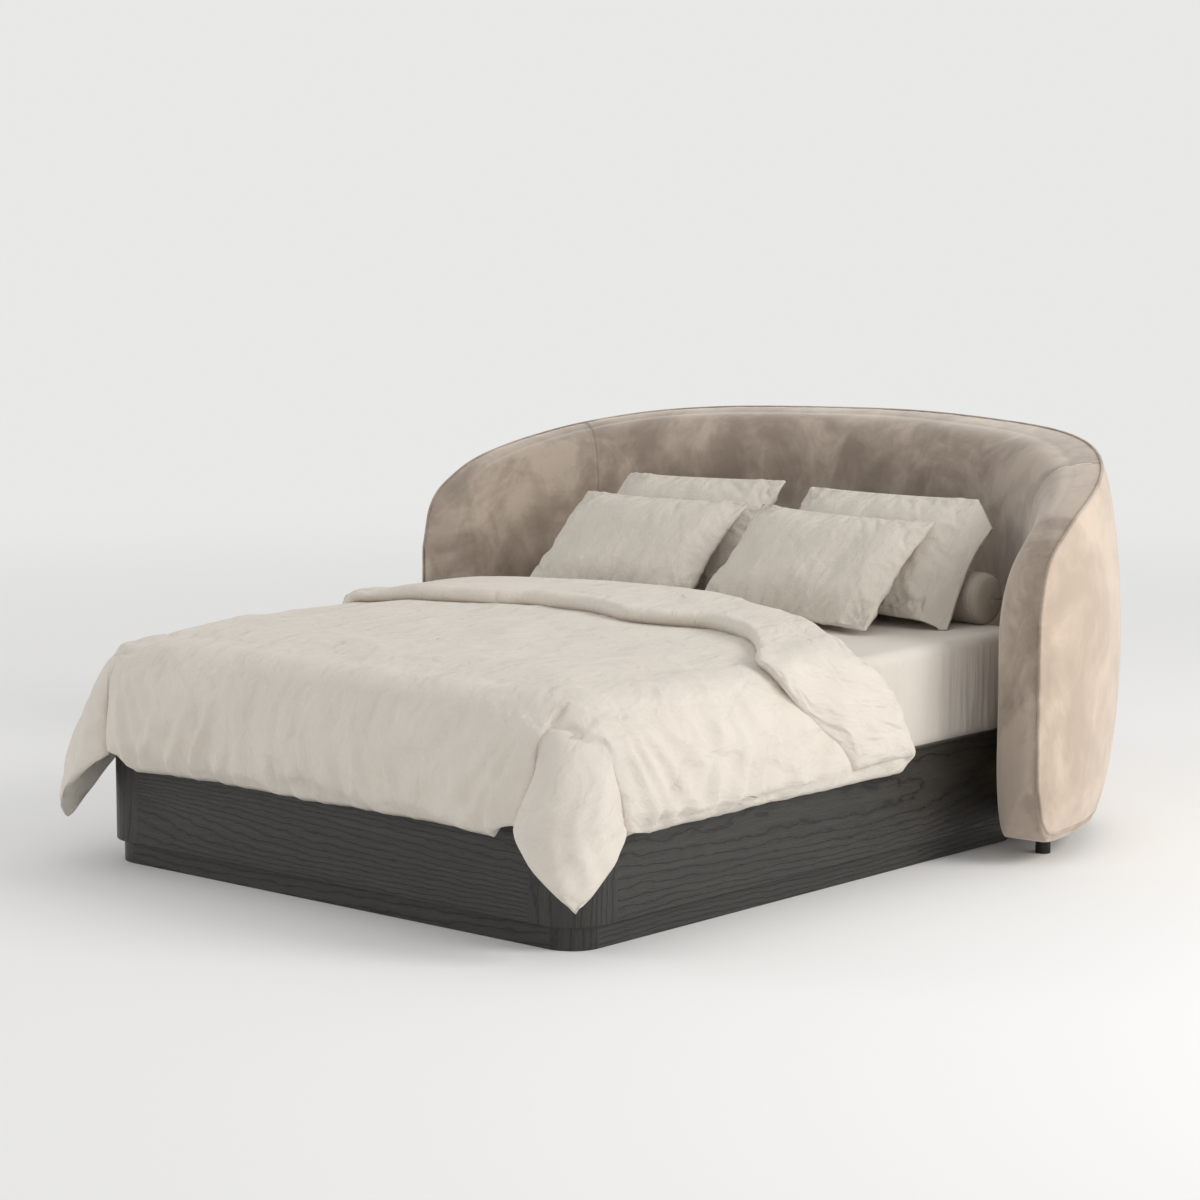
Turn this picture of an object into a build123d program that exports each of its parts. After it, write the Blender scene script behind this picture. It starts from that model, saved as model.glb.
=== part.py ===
# A double bed with a stained oak plinth base, a padded headboard that curves round
# the head end, and its bedding. Millimetres. X runs across the bed, +Y towards the
# headboard, +Z up. The origin is on the floor under the middle of the whole bed.
from build123d import *
from math import copysign, cos, hypot, radians, sin
import os

os.makedirs("parts", exist_ok=True)

# Mattress, the size that everything else is built round
mattress_width = 1800
mattress_length = 2000
mattress_corner = 100
mattress_edge = 24
mattress_core_height = 250
mattress_topper_height = 70
sheet_thickness = 1.5
lift_clearance = 0.3

# Base box: thin veneered panels over a structural inner frame
mattress_gap = 2
panel_thickness = 18
panel_edge = 4
plinth_height = 64
plinth_inset = 22
plinth_thickness = 20
rail_height = 284
box_corner = 114
post_reach = 164
frame_thickness = 40
mattress_recess = 40

# Slats, middle beam and legs
slat_count = 12
slat_width = 90
slat_thickness = 18
slat_bearing = 23
slat_end_margin = 85
beam_width = 60
beam_depth = 80
hanger_thickness = 3
hanger_length = 60
leg_size = 50
leg_edge = 5
leg_count = 3
screw_shank_radius = 2
screw_head_radius = 4.5
screw_head_height = 2.6
screw_length = 40

# Headboard: plan curve of the welt that edges its outside, and its upright profile
wing_front_from_foot = 1650
welt_half_width = 1210
welt_depth = 1030
plan_exponent = 2.1
headboard_height = 1178
wing_drop = 438
headboard_floor_gap = 65
front_rise = 135
padding_thickness = 260
outer_bulge = 60
roll_width = 150
roll_height = 290
top_fall = 8
lower_taper_height = 230
lower_taper = 50
outer_foot_height = 55
outer_foot_inset = 45
seam_angle = 57
pad_gap = 0.4

# Headboard's bent plywood core, its feet and what ties it to the base
core_thickness = 30
core_floor_gap = 135
core_top_margin = 150
core_pocket_depth = 10
foot_block_depth = 100
foot_block_width = 110
foot_block_height = 80
headboard_foot_radius = 22
headboard_foot_inset = 105
arm_width = 60
arm_height = 60
arm_offset = 450
arm_floor_gap = 160
spacer_width = 40
spacer_height = 110
spacer_floor_gap = 150
spacer_from_foot = 1885
bolt_shank_radius = 4
bolt_head_radius = 8
bolt_head_height = 5
bolt_length = 95
bolt_spacing = 30

# Duvet
duvet_thickness = 50
duvet_side_clearance = 8
duvet_overhang = 36
duvet_hem_floor_gap = 285
duvet_tip_floor_gap = 94
duvet_tip_run = 300
duvet_fold_depth = 10
duvet_shoulder = 34
duvet_corner_run = 120
duvet_corner_flare = 24
duvet_head_from_foot = 1556
duvet_head_side_from_foot = 1225
duvet_edge_lean = 210
duvet_lip_from_foot = 760
duvet_lip_lean = 560
duvet_band_rise = 50
duvet_band_swell = 8
duvet_roll = 42
duvet_side_tip_run = 210
foot_fold_count = 7
side_fold_count = 5

# Pillows and bolster
pillow_width = 668
pillow_height = 446
pillow_thickness = 138
pillow_gap = 24
front_pillow_from_foot = 1564
front_pillow_lean = 43
rear_pillow_from_foot = 1768
rear_pillow_lean = 51.5
rear_pillow_spread = 34
bolster_radius = 80
bolster_half_length = 800
bolster_from_foot = 1994
bolster_end_radius = 26
cut_overrun = 20

# Shapes given as shares. Headboard stations: the angle round the plan curve, 0 at
# the back and 90 at a wing's front, then shares of the drop of the top, the rise of
# the underside, the padding's thickness, the outer bulge and the roll's height.
headboard_station_shares = {
    0: (0, 0, 1, 1, 0.72),
    16: (0.014, 0, 0.985, 1, 0.72),
    30: (0.03, 0, 0.946, 1, 0.72),
    42: (0.064, 0, 0.904, 1, 0.72),
    57: (0.155, 0, 0.827, 0.98, 0.75),
    65: (0.228, 0, 0.787, 0.96, 0.82),
    72: (0.304, 0, 0.76, 0.92, 0.9),
    79: (0.404, 0, 0.738, 0.83, 1),
    84: (0.523, 0, 0.731, 0.7, 1),
    87: (0.623, 0.04, 0.685, 0.5, 0.95),
    88.8: (0.749, 0.3, 0.558, 0.3, 0.8),
    90: (1, 1, 0.327, 0.08, 0.55),
}
centre_loft_steps = 24
wing_loft_angles = (57, 61, 65, 68.5, 72, 75.5, 79, 81.5, 84, 85.6, 87, 88, 88.8, 89.5, 90)
core_end_angle = 84
foot_block_angles = (12, 50, 77)
belly_share = 0.46
round_share = 0.2929
bulge_middle_share = 0.78

# Duvet levels, from the tips up: share of the way from tip to mattress top, or past
# it in shares of the duvet's thickness, then shares of the shoulder and of the folds.
duvet_drape_shares = ((0, 0, 1), (0.34, 0.08, 1), (0.64, 0.3, 0.75), (0.88, 0.7, 0.5))
duvet_crown_shares = (
    (0.2, 1.1, 0.38),
    (0.5, 2, 0.3),
    (0.78, 3.3, 0.2),
    (0.94, 5.2, 0.12),
    (1, 8, 0.08),
)
duvet_roll_shares = ((0.2, 0), (0.5, 0.12), (0.8, 0.42), (1.02, 1))
hem_curve_share = 0.45
hem_curve_rise_share = 0.6

# The duvet's head edge seen from above, fuller on the left: shares of the way from
# the middle to a side, and of the way from the sides' level to the middle's.
duvet_head_shares = ((-1, 0), (-0.5, 0.8), (0, 1), (0.5, 0.55), (1, 0))

# Pillow levels: shares of the half thickness, of the outline's size and of the
# height for the bow of its sides, which are drawn in at the seam.
pillow_level_shares = (
    (0, 1, -0.055),
    (0.36, 0.93, -0.02),
    (0.7, 0.8, 0.03),
    (0.92, 0.58, 0.06),
    (1, 0.3, 0.06),
)

# Sizes that follow from the ones above
base_width = mattress_width + 2 * (mattress_gap + panel_thickness)
base_length = mattress_length + 2 * (mattress_gap + panel_thickness)
half_width = base_width / 2
rail_top = plinth_height + rail_height
slat_top = rail_top - mattress_recess
seat_height = slat_top - slat_thickness
mattress_bottom = slat_top + lift_clearance
core_top = mattress_bottom + mattress_core_height
mattress_top = core_top + mattress_topper_height
bed_top = mattress_top + sheet_thickness
rest_height = bed_top + lift_clearance
duvet_reach = duvet_side_clearance + duvet_overhang
overall_back = wing_front_from_foot + welt_depth + outer_bulge
foot_y = (duvet_reach + duvet_fold_depth - overall_back) / 2
head_y = foot_y + base_length
middle_y = (foot_y + head_y) / 2
wing_y = foot_y + wing_front_from_foot
inner_half_width = half_width - panel_thickness
inner_foot_y = foot_y + panel_thickness
inner_head_y = head_y - panel_thickness
frame_half_width = inner_half_width - frame_thickness
frame_foot_y = inner_foot_y + frame_thickness
frame_head_y = inner_head_y - frame_thickness
straight_half_width = half_width - box_corner
straight_foot_y = foot_y + box_corner
straight_head_y = head_y - box_corner
corners = ((-1, -1), (1, -1), (-1, 1), (1, 1))
sides = {"left": -1, "right": 1}


def save(name, part):
    """Label a finished piece and write it."""
    part.label = name
    export_step(part, f"parts/{name}.step")


def board(x_low, x_high, y_low, y_high, bottom, top):
    """A rectangular board between six faces."""
    with BuildPart() as piece:
        with BuildSketch(Plane.XY.offset(bottom)):
            with Locations(((x_low + x_high) / 2, (y_low + y_high) / 2)):
                Rectangle(x_high - x_low, y_high - y_low)
        extrude(amount=top - bottom)
    return piece.part


def rounded_slab(grow, radius, bottom, top, edge=0):
    """A slab of the mattress's outline grown on every side, its top edge rounded."""
    with BuildPart() as piece:
        with BuildSketch(Plane.XY.offset(bottom)):
            with Locations((0, middle_y)):
                RectangleRounded(mattress_width + 2 * grow, mattress_length + 2 * grow, radius)
        extrude(amount=top - bottom)
        if edge:
            fillet(piece.edges().group_by(Axis.Z)[-1], radius=edge)
    return piece.part


def corner_ring(side, end, outer_inset, inner_inset, bottom, top):
    """The quarter ring at one corner, between two insets from the base's outline."""
    x = side * straight_half_width
    y = straight_head_y if end > 0 else straight_foot_y
    outer = box_corner - outer_inset
    with BuildPart() as piece:
        with BuildSketch(Plane.XY.offset(bottom)):
            with Locations((x, y)):
                Circle(outer)
                Circle(box_corner - inner_inset, mode=Mode.SUBTRACT)
            with Locations((x + side * outer / 2, y + end * outer / 2)):
                Rectangle(outer, outer, mode=Mode.INTERSECT)
        extrude(amount=top - bottom)
    return piece.part


# Wood screws that hold the slats, made first so that what they pierce can take them out
slat_pitch = (base_length - 2 * slat_end_margin - slat_width) / (slat_count - 1)
first_slat_y = foot_y + slat_end_margin + slat_width / 2
slat_half_length = frame_half_width + slat_bearing
screw_x = frame_half_width + slat_bearing / 2
screw_places = [
    (side * screw_x, first_slat_y + index * slat_pitch)
    for index in range(slat_count)
    for side in (-1, 1)
]

with BuildPart() as slat_screws:
    with BuildSketch(Plane.XY.offset(slat_top - screw_length)):
        with Locations(screw_places):
            Circle(screw_shank_radius)
    extrude(amount=screw_length)
    with BuildSketch(Plane.XY.offset(slat_top - screw_head_height)):
        with Locations(screw_places):
            Circle(screw_head_radius)
    extrude(amount=screw_head_height)
save("slat_screws", slat_screws.part)

# Bolts that tie the headboard's arms and spacers to the base, heads inside the base
arm_middle = arm_floor_gap + arm_height / 2
spacer_middle = spacer_floor_gap + spacer_height / 2
spacer_y = foot_y + spacer_from_foot + spacer_width / 2
bolt_planes = []
for side in (-1, 1):
    for level in (-1, 1):
        rise = level * bolt_spacing / 2
        bolt_planes.append(
            Plane(
                origin=(side * arm_offset, frame_head_y, arm_middle + rise),
                x_dir=(1, 0, 0),
                z_dir=(0, 1, 0),
            )
        )
        bolt_planes.append(
            Plane(
                origin=(side * frame_half_width, spacer_y, spacer_middle + rise),
                x_dir=(0, 1, 0),
                z_dir=(side, 0, 0),
            )
        )

with BuildPart() as headboard_bolts:
    for plane in bolt_planes:
        with BuildSketch(plane):
            Circle(bolt_shank_radius)
        extrude(amount=bolt_length)
        with BuildSketch(plane):
            RegularPolygon(bolt_head_radius, 6)
        extrude(amount=-bolt_head_height)
save("headboard_bolts", headboard_bolts.part)

# Plinth: four boards and four curved corners, set back under the box
plinth_x = half_width - plinth_inset
plinth_back = plinth_inset + plinth_thickness
plinth_boards = {
    "plinth_foot_board": (
        -straight_half_width,
        straight_half_width,
        foot_y + plinth_inset,
        foot_y + plinth_back,
    ),
    "plinth_head_board": (
        -straight_half_width,
        straight_half_width,
        head_y - plinth_back,
        head_y - plinth_inset,
    ),
    "plinth_left_board": (
        -plinth_x,
        plinth_thickness - plinth_x,
        straight_foot_y,
        straight_head_y,
    ),
    "plinth_right_board": (
        plinth_x - plinth_thickness,
        plinth_x,
        straight_foot_y,
        straight_head_y,
    ),
}
for name, extent in plinth_boards.items():
    save(name, board(*extent, 0, plinth_height))

with BuildPart() as plinth_corners:
    for side, end in corners:
        add(corner_ring(side, end, plinth_inset, plinth_back, 0, plinth_height))
save("plinth_corners", plinth_corners.part)

# Structural frame inside the panels, which stands on the plinth and carries the slats
frame_boards = {
    "foot_frame_board": (-straight_half_width, straight_half_width, inner_foot_y, frame_foot_y),
    "head_frame_board": (-straight_half_width, straight_half_width, frame_head_y, inner_head_y),
    "left_frame_board": (
        -inner_half_width,
        -frame_half_width,
        straight_foot_y,
        straight_head_y,
    ),
    "right_frame_board": (
        frame_half_width,
        inner_half_width,
        straight_foot_y,
        straight_head_y,
    ),
}
for name, extent in frame_boards.items():
    with BuildPart() as frame_board:
        add(board(*extent, plinth_height, seat_height))
        add(slat_screws.part, mode=Mode.SUBTRACT)
        add(headboard_bolts.part, mode=Mode.SUBTRACT)
    save(name, frame_board.part)

with BuildPart() as corner_blocks:
    for side, end in corners:
        inner_inset = panel_thickness + frame_thickness
        add(corner_ring(side, end, panel_thickness, inner_inset, plinth_height, seat_height))
save("corner_blocks", corner_blocks.part)

# Veneered panels on the outside, with eased long edges
post_x = half_width - post_reach
post_foot_y = foot_y + post_reach
post_head_y = head_y - post_reach
panels = {
    "foot_panel": (-post_x, post_x, foot_y, inner_foot_y, Axis.X),
    "head_panel": (-post_x, post_x, inner_head_y, head_y, Axis.X),
    "left_panel": (-half_width, -inner_half_width, post_foot_y, post_head_y, Axis.Y),
    "right_panel": (inner_half_width, half_width, post_foot_y, post_head_y, Axis.Y),
}
for name, (x_low, x_high, y_low, y_high, along) in panels.items():
    with BuildPart() as panel:
        add(board(x_low, x_high, y_low, y_high, plinth_height, rail_top))
        long_edges = panel.edges().filter_by(along)
        fillet(long_edges, radius=panel_edge)
        add(headboard_bolts.part, mode=Mode.SUBTRACT)
    save(name, panel.part)

# Curved corner posts with upright grain, flush with the panels
for name, side, end in (
    ("foot_left_post", -1, -1),
    ("foot_right_post", 1, -1),
    ("head_left_post", -1, 1),
    ("head_right_post", 1, 1),
):
    with BuildPart() as post:
        with BuildSketch(Plane.XY.offset(plinth_height)):
            with Locations((0, middle_y)):
                RectangleRounded(base_width, base_length, box_corner)
                RectangleRounded(
                    base_width - 2 * panel_thickness,
                    base_length - 2 * panel_thickness,
                    box_corner - panel_thickness,
                    mode=Mode.SUBTRACT,
                )
            corner_y = middle_y + end * (base_length - post_reach) / 2
            with Locations((side * (half_width - post_reach / 2), corner_y)):
                Rectangle(post_reach, post_reach, mode=Mode.INTERSECT)
        extrude(amount=rail_height)
        levels = post.edges().group_by(Axis.Z)
        long_edges = (levels[0] + levels[-1]).filter_by(
            lambda edge: abs(edge.length - panel_thickness) > panel_edge
        )
        fillet(long_edges, radius=panel_edge)
        add(headboard_bolts.part, mode=Mode.SUBTRACT)
    save(name, post.part)

# Slats, each screwed down at both ends
for index in range(slat_count):
    slat_y = first_slat_y + index * slat_pitch
    with BuildPart() as slat:
        add(
            board(
                -slat_half_length,
                slat_half_length,
                slat_y - slat_width / 2,
                slat_y + slat_width / 2,
                seat_height,
                slat_top,
            )
        )
        add(slat_screws.part, mode=Mode.SUBTRACT)
    save(f"slat_{index + 1:02d}", slat.part)

# Middle beam in two steel hangers, on legs
beam_foot_y = frame_foot_y + hanger_thickness
beam_head_y = frame_head_y - hanger_thickness
beam_bottom = seat_height - beam_depth
save(
    "middle_beam",
    board(-beam_width / 2, beam_width / 2, beam_foot_y, beam_head_y, beam_bottom, seat_height),
)

hanger_x = beam_width / 2 + hanger_thickness
with BuildPart() as beam_hangers:
    for end in (-1, 1):
        wall_y = frame_head_y if end > 0 else frame_foot_y
        tongue_y = wall_y - end * (hanger_thickness + hanger_length)
        low_y = min(wall_y, tongue_y)
        high_y = max(wall_y, tongue_y)
        tray_bottom = beam_bottom - hanger_thickness
        add(board(-hanger_x, hanger_x, low_y, high_y, tray_bottom, seat_height))
        plate_y = wall_y - end * hanger_thickness
        plate = (min(wall_y, plate_y), max(wall_y, plate_y))
        add(board(-beam_width, beam_width, *plate, tray_bottom, seat_height))
    add(
        board(-beam_width / 2, beam_width / 2, beam_foot_y, beam_head_y, beam_bottom, seat_height),
        mode=Mode.SUBTRACT,
    )
save("beam_hangers", beam_hangers.part)

leg_pitch = base_length / (leg_count + 1)
with BuildPart() as middle_legs:
    with BuildSketch():
        with Locations([(0, foot_y + leg_pitch * (index + 1)) for index in range(leg_count)]):
            RectangleRounded(leg_size, leg_size, leg_edge)
    extrude(amount=beam_bottom)
save("middle_legs", middle_legs.part)


# Headboard
def plan_place(angle):
    """Where the welt's plan curve is at an angle, and the direction inwards there."""
    across = abs(sin(radians(angle))) ** (2 / plan_exponent)
    along = max(cos(radians(angle)), 0) ** (2 / plan_exponent)
    slope_x = across ** (plan_exponent - 1) / welt_half_width
    slope_y = along ** (plan_exponent - 1) / welt_depth
    slope = hypot(slope_x, slope_y)
    place = (copysign(across * welt_half_width, angle), wing_y + along * welt_depth)
    inwards = (-copysign(slope_x, angle) / slope, -slope_y / slope)
    return place, inwards


def station_plane(angle):
    """The upright plane square to the plan curve: x inwards from the welt, y up."""
    (x, y), (in_x, in_y) = plan_place(angle)
    return Plane(origin=(x, y, 0), x_dir=(in_x, in_y, 0), z_dir=(in_y, -in_x, 0))


def eased_share(angle, column):
    """One column of the station table at an angle, eased between the table's angles."""
    known = sorted(headboard_station_shares)
    index = max(place for place, start in enumerate(known[:-1]) if start <= angle)
    values = [headboard_station_shares[start][column] for start in known]
    slopes = [
        (values[place + 1] - values[place]) / (known[place + 1] - known[place])
        for place in range(len(known) - 1)
    ]
    tangents = [0]
    for before, after in zip(slopes, slopes[1:]):
        tangents.append(2 * before * after / (before + after) if before * after > 0 else 0)
    tangents.append(slopes[-1])
    span = known[index + 1] - known[index]
    way = (angle - known[index]) / span
    back = 1 - way
    return (
        values[index] * (1 + 2 * way) * back**2
        + tangents[index] * span * way * back**2
        + values[index + 1] * way**2 * (1 + 2 * back)
        - tangents[index + 1] * span * back * way**2
    )


def station_sizes(angle):
    """Top, underside, padding thickness, outer bulge and roll height at a station."""
    drop, rise, thickness, bulge, roll = [
        eased_share(abs(angle), column) for column in range(len(headboard_station_shares[0]))
    ]
    return (
        headboard_height - drop * wing_drop,
        headboard_floor_gap + rise * front_rise,
        thickness,
        bulge * outer_bulge,
        roll * roll_height,
    )


def round_corner(start, end):
    """A rounded turn that leaves its start upright and reaches its end level."""
    middle = (
        start[0] + (end[0] - start[0]) * round_share,
        end[1] + (start[1] - end[1]) * round_share,
    )
    return ThreePointArc(start, middle, end)


def inner_section(angle):
    """Profile of the inner padding: bottom, wall, roll over the top, welt and back."""
    top, floor, thick, _, roll = station_sizes(angle)
    wall = thick * padding_thickness
    welt = (pad_gap, top)
    roll_end = (wall - thick * roll_width, top - top_fall)
    roll_start = (wall, roll_end[1] - roll)
    taper_start = (wall, floor + lower_taper_height)
    inner_foot = (wall - thick * lower_taper, floor)
    outer_foot = (pad_gap + thick * outer_foot_inset, floor)
    back_foot = (pad_gap, floor + outer_foot_height)
    with BuildSketch(station_plane(angle)) as section:
        with BuildLine():
            Line(welt, roll_end)
            round_corner(roll_start, roll_end)
            Line(roll_start, taper_start)
            round_corner(taper_start, inner_foot)
            Line(inner_foot, outer_foot)
            round_corner(back_foot, outer_foot)
            Line(back_foot, welt)
        make_face()
    return section.sketch


def outer_section(angle):
    """Profile of the outer padding: a shallow belly outside the welt's plan curve."""
    top, floor, _, bulge, _ = station_sizes(angle)
    foot = (0, floor + outer_foot_height)
    welt = (0, top)
    belly = (-bulge, floor + belly_share * (top - floor))
    with BuildSketch(station_plane(angle)) as section:
        with BuildLine():
            ThreePointArc(
                welt,
                (-bulge_middle_share * bulge, (top + belly[1]) / 2),
                belly,
            )
            ThreePointArc(
                belly,
                (-bulge_middle_share * bulge, (foot[1] + belly[1]) / 2),
                foot,
            )
            Line(foot, welt)
        make_face()
    return section.sketch


def core_section(angle, back):
    """Profile of the plywood core, or of the pocket for it."""
    top = station_sizes(angle)[0] - core_top_margin
    front = pad_gap + core_thickness
    with BuildSketch(station_plane(angle)) as section:
        with Locations(((back + front) / 2, (core_floor_gap + top) / 2)):
            Rectangle(front - back, top - core_floor_gap)
    return section.sketch


def shell(angles, section, *values):
    """A curved shell through one profile at each station."""
    with BuildPart() as piece:
        loft(sections=[section(angle, *values) for angle in angles], ruled=True)
    return piece.part


centre_angles = [
    seam_angle * (2 * step / centre_loft_steps - 1) for step in range(centre_loft_steps + 1)
]
core_wing_angles = [angle for angle in wing_loft_angles if angle <= core_end_angle]
segments = {
    "left": ([-angle for angle in wing_loft_angles], [-angle for angle in core_wing_angles]),
    "centre": (centre_angles, centre_angles),
    "right": (wing_loft_angles, core_wing_angles),
}
cores = {}
pockets = {}
paddings = {}
for name, (pad_angles, core_angles) in segments.items():
    cores[name] = shell(core_angles, core_section, pad_gap)
    pockets[name] = shell(core_angles, core_section, -core_pocket_depth)
    paddings[name] = shell(pad_angles, inner_section)
    save(f"headboard_core_{name}", cores[name])
    save(f"back_padding_{name}", shell(pad_angles, outer_section))

# Blocks let into the underside of the padding, and the feet screwed under them
foot_places = [side * angle for side in (-1, 1) for angle in foot_block_angles]
block_start = pad_gap + core_thickness


def segment_of(angle):
    """The name of the headboard segment that a station lies in."""
    if abs(angle) < seam_angle:
        return "centre"
    return "left" if angle < 0 else "right"


def foot_block(angle):
    """A block behind the core's lower edge, flush with the padding's underside."""
    middle = (
        block_start + foot_block_depth / 2,
        headboard_floor_gap + foot_block_height / 2,
    )
    with BuildPart() as block:
        with BuildSketch(station_plane(angle)):
            with Locations(middle):
                Rectangle(foot_block_depth, foot_block_height)
        extrude(amount=foot_block_width / 2, both=True)
        add(paddings[segment_of(angle)], mode=Mode.INTERSECT)
        add(pockets[segment_of(angle)], mode=Mode.SUBTRACT)
    return block.part


with BuildPart() as foot_blocks:
    for angle in foot_places:
        add(foot_block(angle))
save("foot_blocks", foot_blocks.part)

with BuildPart() as headboard_feet:
    with BuildSketch():
        for angle in foot_places:
            (x, y), (in_x, in_y) = plan_place(angle)
            with Locations((x + in_x * headboard_foot_inset, y + in_y * headboard_foot_inset)):
                Circle(headboard_foot_radius)
    extrude(amount=headboard_floor_gap)
save("headboard_feet", headboard_feet.part)

# Arms from the head panel and spacers from the side panels, butted against the core
core_middle = pad_gap + core_thickness / 2
arm_share = (1 - (arm_offset / welt_half_width) ** plan_exponent) ** (1 / plan_exponent)
arm_end_y = wing_y + welt_depth * arm_share - core_middle
spacer_share = (spacer_y - wing_y) / welt_depth
spacer_reach = welt_half_width * (1 - spacer_share**plan_exponent) ** (1 / plan_exponent)
spacer_end_x = spacer_reach - core_middle
ties = {}
for name, side in sides.items():
    arm_x = side * arm_offset
    with BuildPart() as arm:
        add(
            board(
                arm_x - arm_width / 2,
                arm_x + arm_width / 2,
                head_y,
                arm_end_y,
                arm_floor_gap,
                arm_floor_gap + arm_height,
            )
        )
        add(pockets["centre"], mode=Mode.SUBTRACT)
    ties[f"{name}_head_arm"] = arm.part
    with BuildPart() as spacer:
        add(
            board(
                min(side * half_width, side * spacer_end_x),
                max(side * half_width, side * spacer_end_x),
                spacer_y - spacer_width / 2,
                spacer_y + spacer_width / 2,
                spacer_floor_gap,
                spacer_floor_gap + spacer_height,
            )
        )
        add(pockets[name], mode=Mode.SUBTRACT)
    ties[f"{name}_wing_spacer"] = spacer.part

for name, padding in paddings.items():
    with BuildPart() as finished_padding:
        add(padding)
        add(pockets[name], mode=Mode.SUBTRACT)
        add(foot_blocks.part, mode=Mode.SUBTRACT)
        for tie in ties.values():
            add(tie, mode=Mode.SUBTRACT)
    save(f"headboard_padding_{name}", finished_padding.part)

for name, tie in ties.items():
    with BuildPart() as bored_tie:
        add(tie)
        add(headboard_bolts.part, mode=Mode.SUBTRACT)
    save(name, bored_tie.part)

# Mattress in two layers, and the fitted sheet over it
with BuildPart() as mattress_core:
    add(rounded_slab(0, mattress_corner, mattress_bottom, core_top))
    fillet(mattress_core.edges().group_by(Axis.Z)[0], radius=mattress_edge)
save("mattress_core", mattress_core.part)

mattress_topper = rounded_slab(0, mattress_corner, core_top, mattress_top, mattress_edge)
save("mattress_topper", mattress_topper)

sheet_bottom = mattress_bottom + mattress_edge
with BuildPart() as fitted_sheet:
    sheet_corner = mattress_corner + sheet_thickness
    sheet_edge = mattress_edge + sheet_thickness
    add(rounded_slab(sheet_thickness, sheet_corner, sheet_bottom, bed_top, sheet_edge))
    add(
        rounded_slab(0, mattress_corner, mattress_bottom, mattress_top, mattress_edge),
        mode=Mode.SUBTRACT,
    )
save("fitted_sheet", fitted_sheet.part)


# Duvet
def wave(start, end, outwards, depth, folds):
    """A row of arcs from start to end, hollow first and last, swelling in between."""
    count = 2 * folds + 1
    for index in range(count):
        depth_here = -depth if index % 2 == 0 else depth
        points = [
            (
                start[0] + (end[0] - start[0]) * share / count,
                start[1] + (end[1] - start[1]) * share / count,
            )
            for share in (index, index + 1 / 2, index + 1)
        ]
        middle = (
            points[1][0] + outwards[0] * depth_here,
            points[1][1] + outwards[1] * depth_here,
        )
        ThreePointArc(points[0], middle, points[2])


def duvet_outline(height, inset, folds, swell):
    """The duvet's outline at one level: two wavy sides, a wavy foot and a plain head."""
    x = half_width + duvet_reach + swell - inset
    y = foot_y - duvet_reach - swell + inset
    run = duvet_corner_run
    far_y = foot_y + duvet_head_from_foot + 2 * cut_overrun + duvet_shoulder
    depth = folds * duvet_fold_depth
    bend = run * round_share - folds * duvet_corner_flare * (1 - round_share)
    with BuildSketch(Plane.XY.offset(height)) as outline:
        with BuildLine():
            wave((-x, far_y), (-x, y + run), (-1, 0), depth, side_fold_count)
            ThreePointArc((-x, y + run), (bend - x, y + bend), (run - x, y))
            wave((run - x, y), (x - run, y), (0, -1), depth, foot_fold_count)
            ThreePointArc((x - run, y), (x - bend, y + bend), (x, y + run))
            wave((x, y + run), (x, far_y), (1, 0), depth, side_fold_count)
            Line((x, far_y), (-x, far_y))
        make_face()
    return outline.sketch


def duvet_block(rise, swell):
    """The outer form of the duvet before its underside and its edges are cut."""
    low = duvet_tip_floor_gap - cut_overrun
    sections = [
        duvet_outline(
            low + share * (bed_top - low),
            shoulder * duvet_shoulder,
            folds,
            swell,
        )
        for share, shoulder, folds in duvet_drape_shares
    ]
    sections += [
        duvet_outline(
            bed_top + share * (duvet_thickness + rise),
            shoulder * duvet_shoulder,
            folds,
            swell,
        )
            for share, shoulder, folds in duvet_crown_shares
    ]
    with BuildPart() as block:
        loft(sections=sections, ruled=True)
    return block.part


plan_x = half_width + duvet_reach + duvet_corner_flare + cut_overrun
plan_foot_y = foot_y - duvet_reach - duvet_corner_flare - cut_overrun
side_edge_y = foot_y + duvet_head_side_from_foot
head_edge_y = foot_y + duvet_head_from_foot
lip_edge_y = foot_y + duvet_lip_from_foot


def plan_outline(height, shift, near):
    """The bed's plan from a near edge to the duvet's head edge, shifted along the bed."""
    side = side_edge_y + shift
    head_points = [
        (across * plan_x, side + rise * (head_edge_y - side_edge_y))
        for across, rise in duvet_head_shares
    ]
    with BuildSketch(Plane.XY.offset(height)) as outline:
        with BuildLine():
            Spline(*head_points)
            Line((plan_x, side), (plan_x, near))
            Line((plan_x, near), (-plan_x, near))
            Line((-plan_x, near), (-plan_x, side))
        make_face()
    return outline.sketch


def plan_region(near_y, near_lean):
    """The block of that plan, leaning to the foot, its upper edges rounded over."""
    peak = duvet_thickness + duvet_band_rise
    sections = [plan_outline(0, duvet_edge_lean, near_y + near_lean)]
    for height, inset in duvet_roll_shares:
        roll = inset * duvet_roll
        sections.append(plan_outline(bed_top + height * peak, -roll, near_y + roll))
    with BuildPart() as region:
        loft(sections=sections, ruled=True)
    return region.part


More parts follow.
